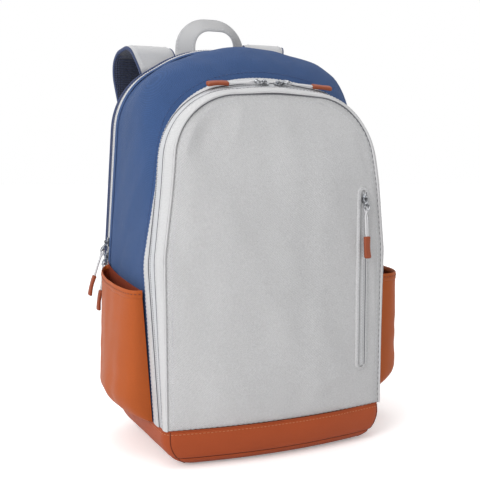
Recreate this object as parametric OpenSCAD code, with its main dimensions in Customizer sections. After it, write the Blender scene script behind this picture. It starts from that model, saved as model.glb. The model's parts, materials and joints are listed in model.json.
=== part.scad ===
// Racket backpack: soft arched shell on a rounded base, drop-front pocket,
// opening back with shoulder straps, side pockets and five zip pulls.
// Millimetres. X to the wearer's left in front view, front is -Y, Z up,
// origin on the floor under the middle of the body.

/* [Body] */
// Half width of the body at the seam above the base
base_half_w = 140.5; // [139:0.5:142]
// Half width of the body where it is widest
waist_half_w = 152; // [150.5:0.5:153]
// Height of the seam between base and upper body
seam_z = 43; // [40:1:45]
// Height of the widest level
waist_z = 205; // [203:1:207]
// Thickness of the padded cloth walls
wall_t = 2.2; // [1.8:0.1:2.4]
// Forward bow of the front panel in its middle
front_bow = 15; // [10:1:18]
// Backward lean of the front at the top
front_lean = 8.5; // [7:0.5:10]

/* [Pockets] */
// How far the left bottle pocket stands out
left_pocket_out = 33; // [26:1:40]
// How far the right bottle pocket stands out
right_pocket_out = 58; // [50:1:62]
// Height of the front end of the pocket rims
pocket_rim_z = 190; // [182:1:194]

/* [Back and straps] */
// Thickness of the back pads
pad_t = 10; // [6:1:10]
// Thickness of the cloth face of a shoulder strap
strap_face_t = 3; // [2:0.5:3.5]
// Thickness of the mesh padding under a shoulder strap
strap_pad_t = 6; // [4:0.5:6]
// Width of the webbing below the straps
webbing_w = 25; // [20:1:26]
// Width of the carry handle
handle_w = 28; // [24:1:28]

/* [Zips] */
// Thickness of the zip tapes
tape_t = 1.2; // [0.8:0.1:1.2]
// Length of the cord between pull tab and sleeve
pull_cord_l = 33; // [20:1:36]
// Length of the sleeve on a pull
sleeve_l = 26; // [20:1:30]
// Height of the upper end of the chest zip
chest_top_z = 306; // [300:1:308]
// Height of the lower end of the chest zip
chest_low_z = 94; // [90:1:110]

/* [Hidden] */
$fn = 40;
// Corners of an arch: waist, shoulder and crown, each with its radius.
shoulder_x = 137;
shoulder_z = 428;
side_slope = (waist_half_w - shoulder_x) / (shoulder_z - waist_z);
side_lean = atan(side_slope);
zip_y = 84;
zip_gap = 2;
gusset_y = -62;
front_zip_y = -85;
front_seam_y = 101;
flap_low_z = 209;
back_y = 99;
pull_l = 12 + pull_cord_l + sleeve_l;
// Depth, share of the lean, foot half width, waist, shoulder, crown.
arch_back = [zip_y, 0, base_half_w, [waist_half_w, waist_z, 120], [shoulder_x, shoulder_z, 90], [510, 150]];
arch_gusset = [gusset_y, 1, base_half_w, [waist_half_w - 1, 228, 120], [115, 418, 100], [443, 230]];
arch_front_zip = [front_zip_y, 1, base_half_w, [waist_half_w, 228, 120], [133, 413, 92], [432, 330]];
arch_seam = [-front_seam_y, 1, base_half_w - 1, [waist_half_w - 11.5, 237, 120], [120, 412, 78], [419.5, 300]];
arch_roof = [mix(zip_y, gusset_y, 0.68), 0.2, base_half_w, [waist_half_w, 207, 120], [136.5, 455.5, 80], [480, 300]];
crown_slope = atan((432 - 413) / 133);
front_zip_r = 330;
front_zip_c = 432 - front_zip_r / cos(crown_slope);
front_zip_tilt = 24.5;
chest_x = 107;

blue = [0.27, 0.37, 0.57];
white = [0.88, 0.88, 0.88];
grey = [0.74, 0.75, 0.77];
rust = [0.66, 0.32, 0.17];
navy = [0.08, 0.12, 0.22];
silver = [0.75, 0.76, 0.78];

// Curves

function mix(a, b, f) = a + (b - a) * f;
function unit(v) = v / norm(v);
function ease(t) = let (u = min(max(t, 0), 1)) u * u * (3 - 2 * u);

// Points of the arc that rounds corner b between a and c.
function corner_arc(a, b, c, r, n) =
    let (u = unit(a - b), v = unit(c - b), m = unit(u + v), half = acos(u * v) / 2)
    let (o = b + m * r / sin(half), p = b + u * r / tan(half) - o, q = b + v * r / tan(half) - o)
    let (start = atan2(p[1], p[0]), turn = atan2(p[0] * q[1] - p[1] * q[0], p * q))
    [for (i = [0:n]) o + r * [cos(start + turn * i / n), sin(start + turn * i / n)]];

function between(a, b, n) = [for (i = [1:n]) mix(a, b, i / (n + 1))];

// Left half of an arch from its foot at height z0 to the crown, as [x, z].
function half_arch(arch, z0) =
    let (waist = [-arch[3][0], arch[3][1]], shoulder = [-arch[4][0], arch[4][1]], crown = [0, arch[5][0]])
    let (low = [-mix(arch[2], arch[3][0], (z0 - seam_z) / (arch[3][1] - seam_z)), z0])
    let (slope = (arch[3][0] - arch[4][0]) / (arch[4][1] - arch[3][1]))
    let (high = [-(arch[3][0] - slope * (z0 - arch[3][1])), z0], cut = z0 > arch[3][1])
    let (w = cut ? [high] : concat([low], corner_arc(low, waist, shoulder, arch[3][2], 4)))
    let (s = corner_arc(waist, shoulder, crown, arch[4][2], 8))
    let (k = corner_arc(shoulder, crown, [-shoulder[0], shoulder[1]], arch[5][1], 16))
    concat(w, between(w[len(w) - 1], s[0], 6), s, [for (i = [0:8]) k[i]]);

// Whole arch from the left foot over the crown to the right foot.
function whole(half) = concat(half, [for (i = [len(half) - 2:-1:0]) [-half[i][0], half[i][1]]]);

function lean_at(z) = front_lean * ease((z - 300) / 105);
function front_y(x, z) =
    lean_at(z) - front_seam_y - front_bow * mix(1, 0.2, ease((z - 310) / 110)) * (1 - pow(x / 140, 2));

function arch_ring(arch, z0) =
    [for (p = whole(half_arch(arch, z0))) [p[0], arch[0] + arch[1] * lean_at(p[1]), p[1]]];
function seam_ring(z0) =
    [for (p = whole(half_arch(arch_seam, z0))) [p[0], front_y(p[0], p[1]), p[1]]];
function mix_arch(a, b, f) = [for (i = [0:5]) mix(a[i], b[i], f)];
function mix_ring(a, b, f) = [for (i = [0:len(a) - 1]) mix(a[i], b[i], f)];
// The same arch drawn in by s and moved to depth y.
function drawn_in(arch, s, y) =
    [y, arch[1], arch[2] - s, arch[3] - [s, 0, 0], arch[4] - [s, 0.4 * s, 0], arch[5] - [1.42 * s, s]];

// Sheets

// Inward offset of a ring in its own upright plane.
function inner_ring(ring, t) =
    let (last = len(ring) - 1)
    [for (i = [0:last])
        let (d = ring[min(i + 1, last)] - ring[max(i - 1, 0)], n = unit([d[2], 0, -d[0]])) ring[i] + t * n];

// Inward offset of a grid along its own normals.
function inner_grid(grid, t) =
    let (rows = len(grid) - 1, last = len(grid[0]) - 1)
    [for (s = [0:rows]) [for (i = [0:last])
        let (du = grid[s][min(i + 1, last)] - grid[s][max(i - 1, 0)])
        let (dv = grid[min(s + 1, rows)][i] - grid[max(s - 1, 0)][i])
        grid[s][i] + t * unit(cross(du, dv))]];

// Closed solid between an outer and an inner grid of points.
module sheet(outer, inner) {
    rows = len(outer);
    cols = len(outer[0]);
    half = rows * cols;
    function at(s, i) = s * cols + i;
    skin = [for (s = [0:rows - 2]) for (i = [0:cols - 2])
        let (a = at(s, i), b = at(s, i + 1), c = at(s + 1, i + 1), d = at(s + 1, i))
        each [[a, b, c], [a, c, d], [a + half, c + half, b + half], [a + half, d + half, c + half]]];
    caps = [for (i = [0:cols - 2])
        let (a = at(0, i), b = at(0, i + 1), c = at(rows - 1, i), d = at(rows - 1, i + 1))
        each [[a, a + half, b + half], [a, b + half, b], [c, d, d + half], [c, d + half, c + half]]];
    sides = [for (s = [0:rows - 2])
        let (a = at(s, 0), d = at(s + 1, 0), b = at(s, cols - 1), c = at(s + 1, cols - 1))
        each [[a, d, d + half], [a, d + half, a + half], [b, b + half, c + half], [b, c + half, c]]];
    polyhedron(concat([for (r = outer) each r], [for (r = inner) each r]), concat(skin, caps, sides));
}

module strip(rings, t) {
    sheet(rings, [for (r = rings) inner_ring(r, t)]);
}

// Rows from the crown down to the foot of a ring drawn in by s, n columns each.
function panel_rows(arch, z0, s, n) =
    let (half = half_arch(drawn_in(arch, s, arch[0]), z0))
    [for (j = [len(half) - 2:-1:0]) [for (i = [0:n]) [mix(half[j][0], -half[j][0], i / n), half[j][1]]]];

// Base

function bite(r, z) = z >= r ? 0 : r - sqrt(r * r - pow(r - z, 2));
function base_ring(z, t) =
    let (x = base_half_w - bite(36, z) - t, f = front_seam_y - bite(16, z) - t, b = 98 - bite(40, z) - t)
    let (bow = 1.8 * front_bow * pow(x / base_half_w, 2), front_r = 0.78 * norm([x, bow]) * x / bow)
    let (p = [[-x, -f], [0, -f - bow], [x, -f], [x, b], [-x, b]], r = [14 - t, front_r, 14 - t, 34 - t, 34 - t])
    [for (i = [0:4]) for (q = corner_arc(p[(i + 4) % 5], p[i], p[(i + 1) % 5], r[i], 8)) [q[0], q[1], z]];

// Solid through a stack of level rings, from the top down.
module stack(rings) {
    n = len(rings[0]);
    last = len(rings) - 1;
    skin = [for (s = [0:last - 1]) for (i = [0:n - 1])
        let (a = s * n + i, b = s * n + (i + 1) % n, c = b + n, d = a + n) each [[a, b, c], [a, c, d]]];
    polyhedron([for (r = rings) each r],
        concat(skin, [[for (i = [n - 1:-1:0]) i]], [[for (i = [0:n - 1]) last * n + i]]));
}

module base_panel() {
    color(rust)
        stack([for (z = [7, 4, 2, 0.8, 0]) base_ring(z, 0)]);
}

// Wall between an outer and an inner stack of level rings, from the top down.
module ring_wall(outer, inner) {
    n = len(outer[0]);
    last = len(outer) - 1;
    half = n * (last + 1);
    skin = [for (s = [0:last - 1]) for (i = [0:n - 1])
        let (a = s * n + i, b = s * n + (i + 1) % n, c = b + n, d = a + n)
        each [[a, b, c], [a, c, d], [a + half, c + half, b + half], [a + half, d + half, c + half]]];
    rims = [for (i = [0:n - 1])
        let (a = i, b = (i + 1) % n, c = last * n + a, d = last * n + b)
        each [[a, a + half, b + half], [a, b + half, b], [c, d, d + half], [c, d + half, c + half]]];
    polyhedron(concat([for (r = outer) each r], [for (r = inner) each r]), concat(skin, rims));
}

module base_boot() {
    levels = [seam_z, 32, 24, 17, 11, 7];
    color(rust)
        ring_wall([for (z = levels) base_ring(z, 0)], [for (z = levels) base_ring(z, 2.5)]);
}

module base_board() {
    color(navy)
        translate([0, -14, 7])
            linear_extrude(3)
                rounded_slab(220, 150, 14);
}

module rounded_slab(w, h, r) {
    polygon([for (q = [[1, 1, 0], [-1, 1, 90], [-1, -1, 180], [1, -1, 270]]) for (i = [0:6])
        [q[0] * (w / 2 - r) + r * cos(q[2] + 15 * i), q[1] * (h / 2 - r) + r * sin(q[2] + 15 * i)]]);
}

// Shell

foot_z = seam_z + 0.2;
ring_gusset = arch_ring(arch_gusset, foot_z);
ring_front_zip = arch_ring(arch_front_zip, foot_z);

// The roof is fullest two thirds of the way forward and drops steeply to the gusset.
function roof_share(f) = f < 0.68 ? ease((f - 0.072) / 0.608) : 1 - pow((f - 0.68) / 0.32, 2);
function shell_arch(f) =
    let (plain = mix_arch(arch_back, arch_gusset, f), there = mix_arch(arch_back, arch_gusset, 0.68))
    [for (i = [0:5]) plain[i] + roof_share(f) * (arch_roof[i] - there[i])];

module main_shell() {
    color(blue)
        strip([for (f = [10.5 / 146, 0.25, 0.45, 0.6, 0.7, 0.8, 0.88, 0.94, 0.98, 1])
            arch_ring(shell_arch(f), foot_z)], wall_t);
}

module rear_gusset() {
    color(white)
        strip([ring_gusset, mix_ring(ring_gusset, ring_front_zip, 0.82)], wall_t);
}

module front_zip_rear_tape() {
    color(white)
        strip([for (f = [0.82, 0.94]) mix_ring(ring_gusset, ring_front_zip, f)], tape_t);
}

module main_zip_front_tape() {
    color(white)
        strip([for (f = [1, 10.5]) arch_ring(mix_arch(arch_back, arch_gusset, (11.5 - f) / 146), waist_z + 3)], tape_t);
}

module lower_back_rim() {
    color(blue)
        for (side = [0, 1])
            mirror([side, 0, 0])
                strip([for (k = [[74.2, 0], [93, 0.8], [back_y, 5]])
                    [for (z = [foot_z, 120, 203]) [-mix(base_half_w, waist_half_w, (z - seam_z) / 162) + k[1], k[0] - 0.6, z]]],
                    wall_t);
}

module pocket_divider() {
    rows = [for (row = panel_rows(arch_gusset, 8, 5, 1)) [for (p = row) [p[0] * (p[1] < seam_z ? 0.85 : 1),
        gusset_y + 6 + 0.3 * lean_at(p[1]), max(p[1], 12)]]];
    color(navy)
        sheet(rows, inner_grid(rows, 1.6));
}

module racket_divider() {
    color(navy)
        translate([0, 34, 188])
            rotate([90, 0, 0])
                linear_extrude(6)
                    rounded_slab(216, 356, 30);
}

module lower_back_panel() {
    color(blue)
        back_slab(back_y - 3.5, 2.5)
            polygon([[-131, foot_z + 0.3], [131, foot_z + 0.3], [142, 203], [-142, 203]]);
}

module lower_back_pad() {
    color(navy)
        back_slab(back_y - 0.8, pad_t)
            translate([0, 126])
                rounded_slab(200, 144, 22);
}

// Upright slab from depth y, drawn as seen in front view.
module back_slab(y, t) {
    translate([0, y + t, 0])
        rotate([90, 0, 0])
            linear_extrude(t)
                children();
}

// Bottle pockets

// A pocket's form: how far it stands out, the share of that at its mouth, and
// how far forward of its middle it is fullest, and how square it is.
left_form = [left_pocket_out, 0.56, 1, 0.6];
right_form = [right_pocket_out, 0.84, 0.82, 0.75];
// Share of the full bulge at height share v, closing over a rounded floor.
function pocket_swell(v, mouth) =
    1.05 * (v < 0.2 ? sqrt(1 - pow(1 - v / 0.2, 2)) : mix(1, mouth, (v - 0.2) / 0.8));
function pocket_rim(u) = pocket_rim_z + 14 * u * u;
function side_x(z) = mix(base_half_w, waist_half_w, (z - seam_z) / (waist_z - seam_z)) + 1.4;
function pocket_point(u, v, form, rise) =
    let (z = mix(seam_z + 1.2, pocket_rim(u), v) + rise, full = pow(sin(180 * pow(u, form[2])), form[3]))
    [-side_x(z) - form[0] * full * pocket_swell(v, form[1]) * mix(1.1, 0.9, u), 5 - 65 * cos(180 * u), z];
// Steps round a pocket, closer together at its two seams.
pocket_steps = concat([0, 0.05], [for (i = [1:9]) i / 10], [0.95, 1]);
function pocket_grid(form) =
    [for (v = [0, 0.02, 0.06, 0.12, 0.2, 0.35, 0.55, 0.78, 1])
        [for (u = pocket_steps) pocket_point(u, v, form, 0)]];
function binding_grid(form) =
    [for (rise = [0.1, 7]) [for (u = pocket_steps) pocket_point(u, 1, form, rise)]];

module pocket(form) {
    grid = pocket_grid(form);
    sheet(grid, inner_grid(grid, 1.2));
}

module pocket_binding(form) {
    grid = binding_grid(form);
    sheet(grid, inner_grid(grid, 1.2));
}

module left_pocket() {
    color(rust)
        pocket(left_form);
}

module right_pocket() {
    color(rust)
        mirror([1, 0, 0])
            pocket(right_form);
}

module left_pocket_binding() {
    color(rust)
        pocket_binding(left_form);
}

module right_pocket_binding() {
    color(rust)
        mirror([1, 0, 0])
            pocket_binding(right_form);
}

// Drop front

module front_panel() {
    rows = [for (row = panel_rows(arch_seam, seam_z + 1.5, 2.8, 12)) [for (p = row) [p[0], front_y(p[0], p[1]), p[1]]]];
    color(grey)
        difference() {
            sheet(rows, inner_grid(rows, 2.4));
            on_chest(0)
                translate([-4.2, 0, -8])
                    cube([8.4, chest_top_z - chest_low_z, 16]);
        }
}

module front_gusset() {
    color(white)
        strip([mix_ring(arch_ring(arch_front_zip, seam_z + 1), seam_ring(seam_z + 1), 0.28), seam_ring(seam_z + 1)], wall_t);
}

module front_zip_front_tape() {
    color(white)
        strip([for (f = [0.06, 0.28]) mix_ring(arch_ring(arch_front_zip, seam_z + 1), seam_ring(seam_z + 1), f)], tape_t);
}

// Frame on a surface: origin, outward direction and the way the zip runs.
module placed(o, out, along) {
    side = cross(along, out);
    multmatrix([[side[0], along[0], out[0], o[0]], [side[1], along[1], out[1], o[1]],
        [side[2], along[2], out[2], o[2]], [0, 0, 0, 1]])
        children();
}

// Frame on the front panel at the upper end of the chest zip, running down.
chest_out = unit([2 * front_bow * chest_x / 19600, -1, 0]);
module on_chest(drop) {
    placed([chest_x, front_y(chest_x, 200), chest_top_z - drop], chest_out, [0, 0, -1])
        children();
}

chest_l = chest_top_z - chest_low_z;
chest_tape_z = 0.4;

// Outline of a strip with round ends, starting at the frame's origin.
module stadium(w, l) {
    translate([0, w / 2])
        circle(d = w);
    translate([0, l - w / 2])
        circle(d = w);
    translate([-w / 2, w / 2])
        square([w, l - w]);
}

module chest_welt() {
    color(grey)
        on_chest(-4)
            translate([0, 0, chest_tape_z + tape_t + 0.05])
                linear_extrude(1.2)
                    difference() {
                        stadium(17, chest_l + 8);
                        translate([0, 4.2])
                            stadium(9.4, chest_l - 0.4);
                    }
}

module chest_zip_tape() {
    color(white)
        on_chest(0)
            translate([0, 0, chest_tape_z])
                linear_extrude(tape_t)
                    for (side = [0, 1])
                        mirror([side, 0])
                            translate([zip_gap / 2, 0])
                                square([6.4, chest_l]);
}

module chest_pocket_lining() {
    edge = [for (x = [36:10:126]) [x, front_y(x, 200)]];
    last = len(edge) - 1;
    color(navy)
        translate([0, 0, chest_low_z - 4])
            linear_extrude(chest_l + 6)
                polygon(concat(
                    [edge[0] + [0, 3], edge[0] + [0, 10]],
                    [for (i = [1:last - 1]) edge[i] + [0, 10]],
                    [edge[last] + [0, 10], edge[last] + [0, 3], edge[last] + [-1.2, 3]],
                    [edge[last] + [-1.2, 8.8]],
                    [for (i = [last - 1:-1:1]) edge[i] + [0, 8.8]],
                    [edge[0] + [1.2, 8.8], edge[0] + [1.2, 3]]));
}

// Opening back

module back_arch(s) {
    half = half_arch(drawn_in(arch_back, s, 0), flap_low_z);
    polygon(whole(half));
}

module upper_back_panel() {
    color(blue)
        back_slab(back_y - 3.5, 2.5)
            back_arch(9);
}

module upper_back_pad() {
    color(navy)
        back_slab(back_y - 0.8, pad_t)
            intersection() {
                back_arch(36);
                translate([0, 216 + 160])
                    rounded_slab(236, 320, 24);
            }
}

module back_rim() {
    color(blue)
        strip([for (k = [[back_y, 5], [97, 2.6], [93.6, 1]]) arch_ring(drawn_in(arch_back, k[1], k[0]), flap_low_z)], wall_t);
}

module main_zip_rear_tape() {
    color(white)
        strip([for (k = [[93.6, 1], [zip_y + 1, 0]]) arch_ring(drawn_in(arch_back, k[1], k[0]), flap_low_z)], tape_t);
}

// Carry handle

handle_x = 38;
handle_low_z = 485.5;
handle_top_z = 521.5;
// Middle line of the loop from foot to foot, as [x, z].
handle_half = concat([[-handle_x, handle_low_z]],
    corner_arc([-handle_x, handle_low_z], [-handle_x, handle_top_z], [0, handle_top_z], 24, 8));
handle_line = concat(handle_half, [[0, handle_top_z]], [for (p = reversed(handle_half)) [-p[0], p[1]]]);

function reversed(list) = [for (i = [len(list) - 1:-1:0]) list[i]];

// The webbing of the loop twists from its feet to its top.
function handle_twist(p) = mix(38, 60, ease((p[1] - handle_low_z) / 32));
function handle_grid(d) =
    let (last = len(handle_line) - 1)
    [for (i = [0:last])
        let (p = handle_line[i], t = unit(handle_line[min(i + 1, last)] - handle_line[max(i - 1, 0)]))
        let (a = handle_twist(p), wide = [t[1] * cos(a), -sin(a), -t[0] * cos(a)], out = cross(wide, [t[0], 0, t[1]]))
        [for (k = [1, 0, -1]) [p[0], 100, p[1]] + k * handle_w / 2 * wide + d * out]];

module haul_handle() {
    color(grey)
        sheet(handle_grid(1.5), handle_grid(-1.5));
}

module handle_foot_tabs() {
    color(grey)
        for (side = [-1, 1])
            translate([side * handle_x, back_y + 0.2, 452])
                rotate([-90, 0, 0])
                    linear_extrude(2)
                        translate([0, -16])
                            rounded_slab(14, 32, 2);
}

// Shoulder straps

strap_t = strap_face_t + strap_pad_t;
strap_low_z = 205;
// Middle line of a strap from its seam over the shoulder and down, as [y, z].
function strap_line(rise) =
    let (p = [[103.2, 452], [111.5, 489 + rise], [147, 480 + rise], [147, strap_low_z]])
    concat([p[0]], corner_arc(p[0], p[1], p[2], 13, 8), corner_arc(p[1], p[2], p[3], 16, 8),
        [for (z = [440, 420, 390, 340, 280]) [147, z]], [p[3]]);
// Distance of a strap's middle from the middle of the back, and half its width, along its length.
strap_mid = [[0, 72], [0.1, 81], [0.2, 90], [0.26, 93.5], [0.34, 89.5], [0.4, 86], [0.5, 84], [1, 84]];
strap_half = [[0, 26], [0.1, 30], [0.2, 31], [0.4, 29], [1, 25]];

function beside(line, d) =
    let (last = len(line) - 1)
    [for (i = [0:last])
        let (v = unit(line[min(i + 1, last)] - line[max(i - 1, 0)])) line[i] + d * [-v[1], v[0]]];
function run(line, i) = i == 0 ? 0 : run(line, i - 1) + norm(line[i] - line[i - 1]);

// Face of a left strap at a distance from its middle line.
function strap_grid(line, d) =
    let (edge = beside(line, d), last = len(line) - 1)
    [for (i = [0:last])
        let (s = run(line, i) / run(line, last), m = lookup(s, strap_mid), h = lookup(s, strap_half))
        [for (k = [1, 0, -1]) [k * h - m, edge[i][0], edge[i][1]]]];

module strap_face(rise) {
    line = strap_line(rise);
    color(grey)
        sheet(strap_grid(line, strap_t / 2), strap_grid(line, strap_t / 2 - strap_face_t));
}

module strap_pad(rise) {
    line = strap_line(rise);
    color(navy)
        sheet(strap_grid(line, strap_t / 2 - strap_face_t), strap_grid(line, -strap_t / 2));
}

module left_strap_face() {
    strap_face(0);
}

module right_strap_face() {
    mirror([1, 0, 0])
        strap_face(10);
}

module left_strap_pad() {
    strap_pad(0);
}

module right_strap_pad() {
    mirror([1, 0, 0])
        strap_pad(10);
}

lock_at = [-lookup(1, strap_mid), 147, strap_low_z - 16];
anchor_at = [-121, back_y + 2, 66];

module ladder_lock() {
    color(navy)
        translate(lock_at)
            rotate([90, 0, 0])
                linear_extrude(5, center = true)
                    difference() {
                        rounded_slab(36, 30, 5);
                        translate([0, 7])
                            square([27, 4], center = true);
                        translate([0, -6])
                            square([27, 5], center = true);
                    }
}

module left_ladder_lock() {
    ladder_lock();
}

module right_ladder_lock() {
    mirror([1, 0, 0])
        ladder_lock();
}

module strap_anchor() {
    color(rust)
        back_slab(back_y + 0.3, 2.4)
            translate([anchor_at[0], anchor_at[2] - 14])
                polygon([[-9, -4], [15, -4], [13, 14], [-13, 14]]);
}

module left_strap_anchor() {
    strap_anchor();
}

module right_strap_anchor() {
    mirror([1, 0, 0])
        strap_anchor();
}

// Webbing from the anchor up to the lower slot of the ladder lock.
module lower_webbing() {
    foot = anchor_at + [0, 1.6, 1.5];
    run = lock_at + [0, 0, -22] - foot;
    along = unit(run);
    flat = unit([along[2], 0, -along[0]]);
    color(navy)
        placed(foot, cross(flat, along), along)
            translate([-webbing_w / 2, 0, -0.8])
                cube([webbing_w, norm(run), 1.6]);
}

module left_lower_webbing() {
    lower_webbing();
}

module right_lower_webbing() {
    mirror([1, 0, 0])
        lower_webbing();
}

// Zip pulls

// A slider rides in the slot between two tapes: upper plate, post, lower plate
// and a bridge that holds the cross bar of the tab.
plate_low = 0.4;
plate_t = 1.3;
bar_z = plate_low + plate_t + 1.2;

module zip_slider() {
    color(silver) {
        translate([0, 0, plate_low])
            linear_extrude(plate_t)
                polygon([[-2.2, -5.5], [2.2, -5.5], [3.5, -1], [3.5, 4], [2.6, 5.5], [-2.6, 5.5], [-3.5, 4], [-3.5, -1]]);
        translate([-0.6, -2.5, -tape_t - 1.9])
            cube([1.2, 5, tape_t + 2.6]);
        translate([0, 0, -tape_t - 1.9])
            linear_extrude(1)
                rounded_slab(6, 9, 1.5);
        rotate([90, 0, 90])
            linear_extrude(2.4, center = true)
                intersection() {
                    difference() {
                        union() {
                            translate([0, bar_z])
                                circle(r = 2.9);
                            translate([-2.9, 0])
                                square([5.8, bar_z]);
                        }
                        translate([0, bar_z])
                            circle(r = 1.6);
                        translate([-1.6, plate_low + plate_t])
                            square([3.2, 1.2]);
                    }
                    translate([-4, plate_low + plate_t - 0.4])
                        square([8, 8]);
                }
    }
}

// Tab: cross bar under the bridge, two arms and an eye for the cord.
module pull_tab() {
    color(silver) {
        rotate([0, 90, 0])
            cylinder(r = 0.9, h = 7, center = true);
        linear_extrude(1.4, center = true)
            difference() {
                union() {
                    translate([-3.5, -0.5])
                        square([7, 9.9]);
                    translate([0, 9.4])
                        circle(r = 3.3);
                }
                translate([-1.9, -1])
                    square([3.8, 5.2]);
                translate([0, 9.4])
                    circle(r = 1.9);
            }
    }
}

// Cord looped through the eye, both strands running into the sleeve.
module pull_cord() {
    color(white) {
        translate([0, 12, 0])
            rotate([0, -90, 0])
                rotate([0, 0, 180])
                    rotate_extrude(angle = 180)
                        translate([1.7, 0])
                            circle(r = 0.7);
        for (side = [-1, 1])
            translate([0, 12, side * 1.7])
                rotate([-90, 0, 0])
                    cylinder(r = 0.7, h = pull_cord_l);
    }
}

module pull_sleeve() {
    color(rust)
        translate([0, 12 + pull_cord_l + sleeve_l / 2, 0])
            linear_extrude(4.8, center = true)
                rounded_slab(8.6, sleeve_l, 1.8);
}

// Frame of a pull on its slider, lifted off the surface by an angle.
module on_bar(lift) {
    translate([0, 0, bar_z])
        rotate([lift, 0, 0])
            children();
}

chest_lift = 4.5;
front_lift = -2.5;
main_lower_lift = 6;
main_upper_lift = 20;

module on_chest_zip() {
    on_chest(9)
        translate([0, 0, chest_tape_z + tape_t])
            children();
}

// Frame on the crown of the front zip, turned from the middle, running to one side.
module on_front_zip(turn, way) {
    placed([front_zip_r * sin(turn), front_zip_y + front_lean, front_zip_c + front_zip_r * cos(turn)],
        [sin(turn) * cos(front_zip_tilt), -sin(front_zip_tilt), cos(turn) * cos(front_zip_tilt)],
        way * [cos(turn), 0, -sin(turn)])
        children();
}

// Frame on the left run of the main zip at a height, running down.
module on_main_zip(z) {
    placed([-(waist_half_w - side_slope * (z - waist_z)), zip_y, z],
        [-cos(side_lean), 0, sin(side_lean)], [-sin(side_lean), 0, -cos(side_lean)])
        children();
}

module chest_slider() {
    on_chest_zip()
        zip_slider();
}

module chest_tab() {
    on_chest_zip()
        on_bar(chest_lift)
            pull_tab();
}

module chest_cord() {
    on_chest_zip()
        on_bar(chest_lift)
            pull_cord();
}

module chest_sleeve() {
    on_chest_zip()
        on_bar(chest_lift)
            pull_sleeve();
}

front_turn = 1.5;

module front_left_slider() {
    on_front_zip(-front_turn, -1)
        zip_slider();
}

module front_left_tab() {
    on_front_zip(-front_turn, -1)
        on_bar(front_lift)
            pull_tab();
}

module front_left_cord() {
    on_front_zip(-front_turn, -1)
        on_bar(front_lift)
            pull_cord();
}

module front_left_sleeve() {
    on_front_zip(-front_turn, -1)
        on_bar(front_lift)
            pull_sleeve();
}

module front_right_slider() {
    on_front_zip(front_turn, 1)
        zip_slider();
}

module front_right_tab() {
    on_front_zip(front_turn, 1)
        on_bar(front_lift)
            pull_tab();
}

module front_right_cord() {
    on_front_zip(front_turn, 1)
        on_bar(front_lift)
            pull_cord();
}

module front_right_sleeve() {
    on_front_zip(front_turn, 1)
        on_bar(front_lift)
            pull_sleeve();
}

main_lower_z = 221;
main_upper_z = 238;

module main_lower_slider() {
    on_main_zip(main_lower_z)
        zip_slider();
}

module main_lower_tab() {
    on_main_zip(main_lower_z)
        on_bar(main_lower_lift)
            pull_tab();
}

module main_lower_cord() {
    on_main_zip(main_lower_z)
        on_bar(main_lower_lift)
            pull_cord();
}

module main_lower_sleeve() {
    on_main_zip(main_lower_z)
        on_bar(main_lower_lift)
            pull_sleeve();
}

module main_upper_slider() {
    on_main_zip(main_upper_z)
        zip_slider();
}

module main_upper_tab() {
    on_main_zip(main_upper_z)
        on_bar(main_upper_lift)
            pull_tab();
}

module main_upper_cord() {
    on_main_zip(main_upper_z)
        on_bar(main_upper_lift)
            pull_cord();
}

module main_upper_sleeve() {
    on_main_zip(main_upper_z)
        on_bar(main_upper_lift)
            pull_sleeve();
}

base_panel();
base_boot();
base_board();
main_shell();
pocket_divider();
racket_divider();
rear_gusset();
front_zip_rear_tape();
main_zip_front_tape();
lower_back_rim();
lower_back_panel();
lower_back_pad();
left_pocket();
right_pocket();
left_pocket_binding();
right_pocket_binding();
left_strap_anchor();
right_strap_anchor();
left_lower_webbing();
right_lower_webbing();
front_panel();
front_gusset();
front_zip_front_tape();
chest_welt();
chest_zip_tape();
chest_pocket_lining();
upper_back_panel();
upper_back_pad();
back_rim();
main_zip_rear_tape();
handle_foot_tabs();
haul_handle();
left_strap_face();
right_strap_face();
left_strap_pad();
right_strap_pad();
left_ladder_lock();
right_ladder_lock();
chest_slider();
chest_tab();
chest_cord();
chest_sleeve();
front_left_slider();
front_left_tab();
front_left_cord();
front_left_sleeve();
front_right_slider();
front_right_tab();
front_right_cord();
front_right_sleeve();
main_lower_slider();
main_lower_tab();
main_lower_cord();
main_lower_sleeve();
main_upper_slider();
main_upper_tab();
main_upper_cord();
main_upper_sleeve();
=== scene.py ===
import json
import math
import bpy
import numpy as np
from mathutils import Matrix

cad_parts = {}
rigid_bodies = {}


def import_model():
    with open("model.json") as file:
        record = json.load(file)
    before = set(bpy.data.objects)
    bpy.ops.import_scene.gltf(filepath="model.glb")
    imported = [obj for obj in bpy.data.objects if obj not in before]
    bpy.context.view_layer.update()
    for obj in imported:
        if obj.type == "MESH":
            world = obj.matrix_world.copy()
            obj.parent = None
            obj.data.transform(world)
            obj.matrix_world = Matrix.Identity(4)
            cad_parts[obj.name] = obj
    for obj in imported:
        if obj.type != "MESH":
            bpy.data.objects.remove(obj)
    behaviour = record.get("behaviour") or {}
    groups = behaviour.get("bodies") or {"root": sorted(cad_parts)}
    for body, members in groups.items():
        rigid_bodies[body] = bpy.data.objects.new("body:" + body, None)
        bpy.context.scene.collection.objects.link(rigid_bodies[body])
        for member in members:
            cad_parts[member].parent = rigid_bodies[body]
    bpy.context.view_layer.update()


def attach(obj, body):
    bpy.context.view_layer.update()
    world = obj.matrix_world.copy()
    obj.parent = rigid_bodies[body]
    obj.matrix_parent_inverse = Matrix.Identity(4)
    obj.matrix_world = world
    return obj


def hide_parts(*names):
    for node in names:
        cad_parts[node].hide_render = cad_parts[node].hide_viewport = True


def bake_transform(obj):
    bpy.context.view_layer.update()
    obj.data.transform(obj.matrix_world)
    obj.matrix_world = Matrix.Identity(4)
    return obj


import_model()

# Driving sizes in millimetres: x to the right, y to the back, z up from the floor

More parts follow.
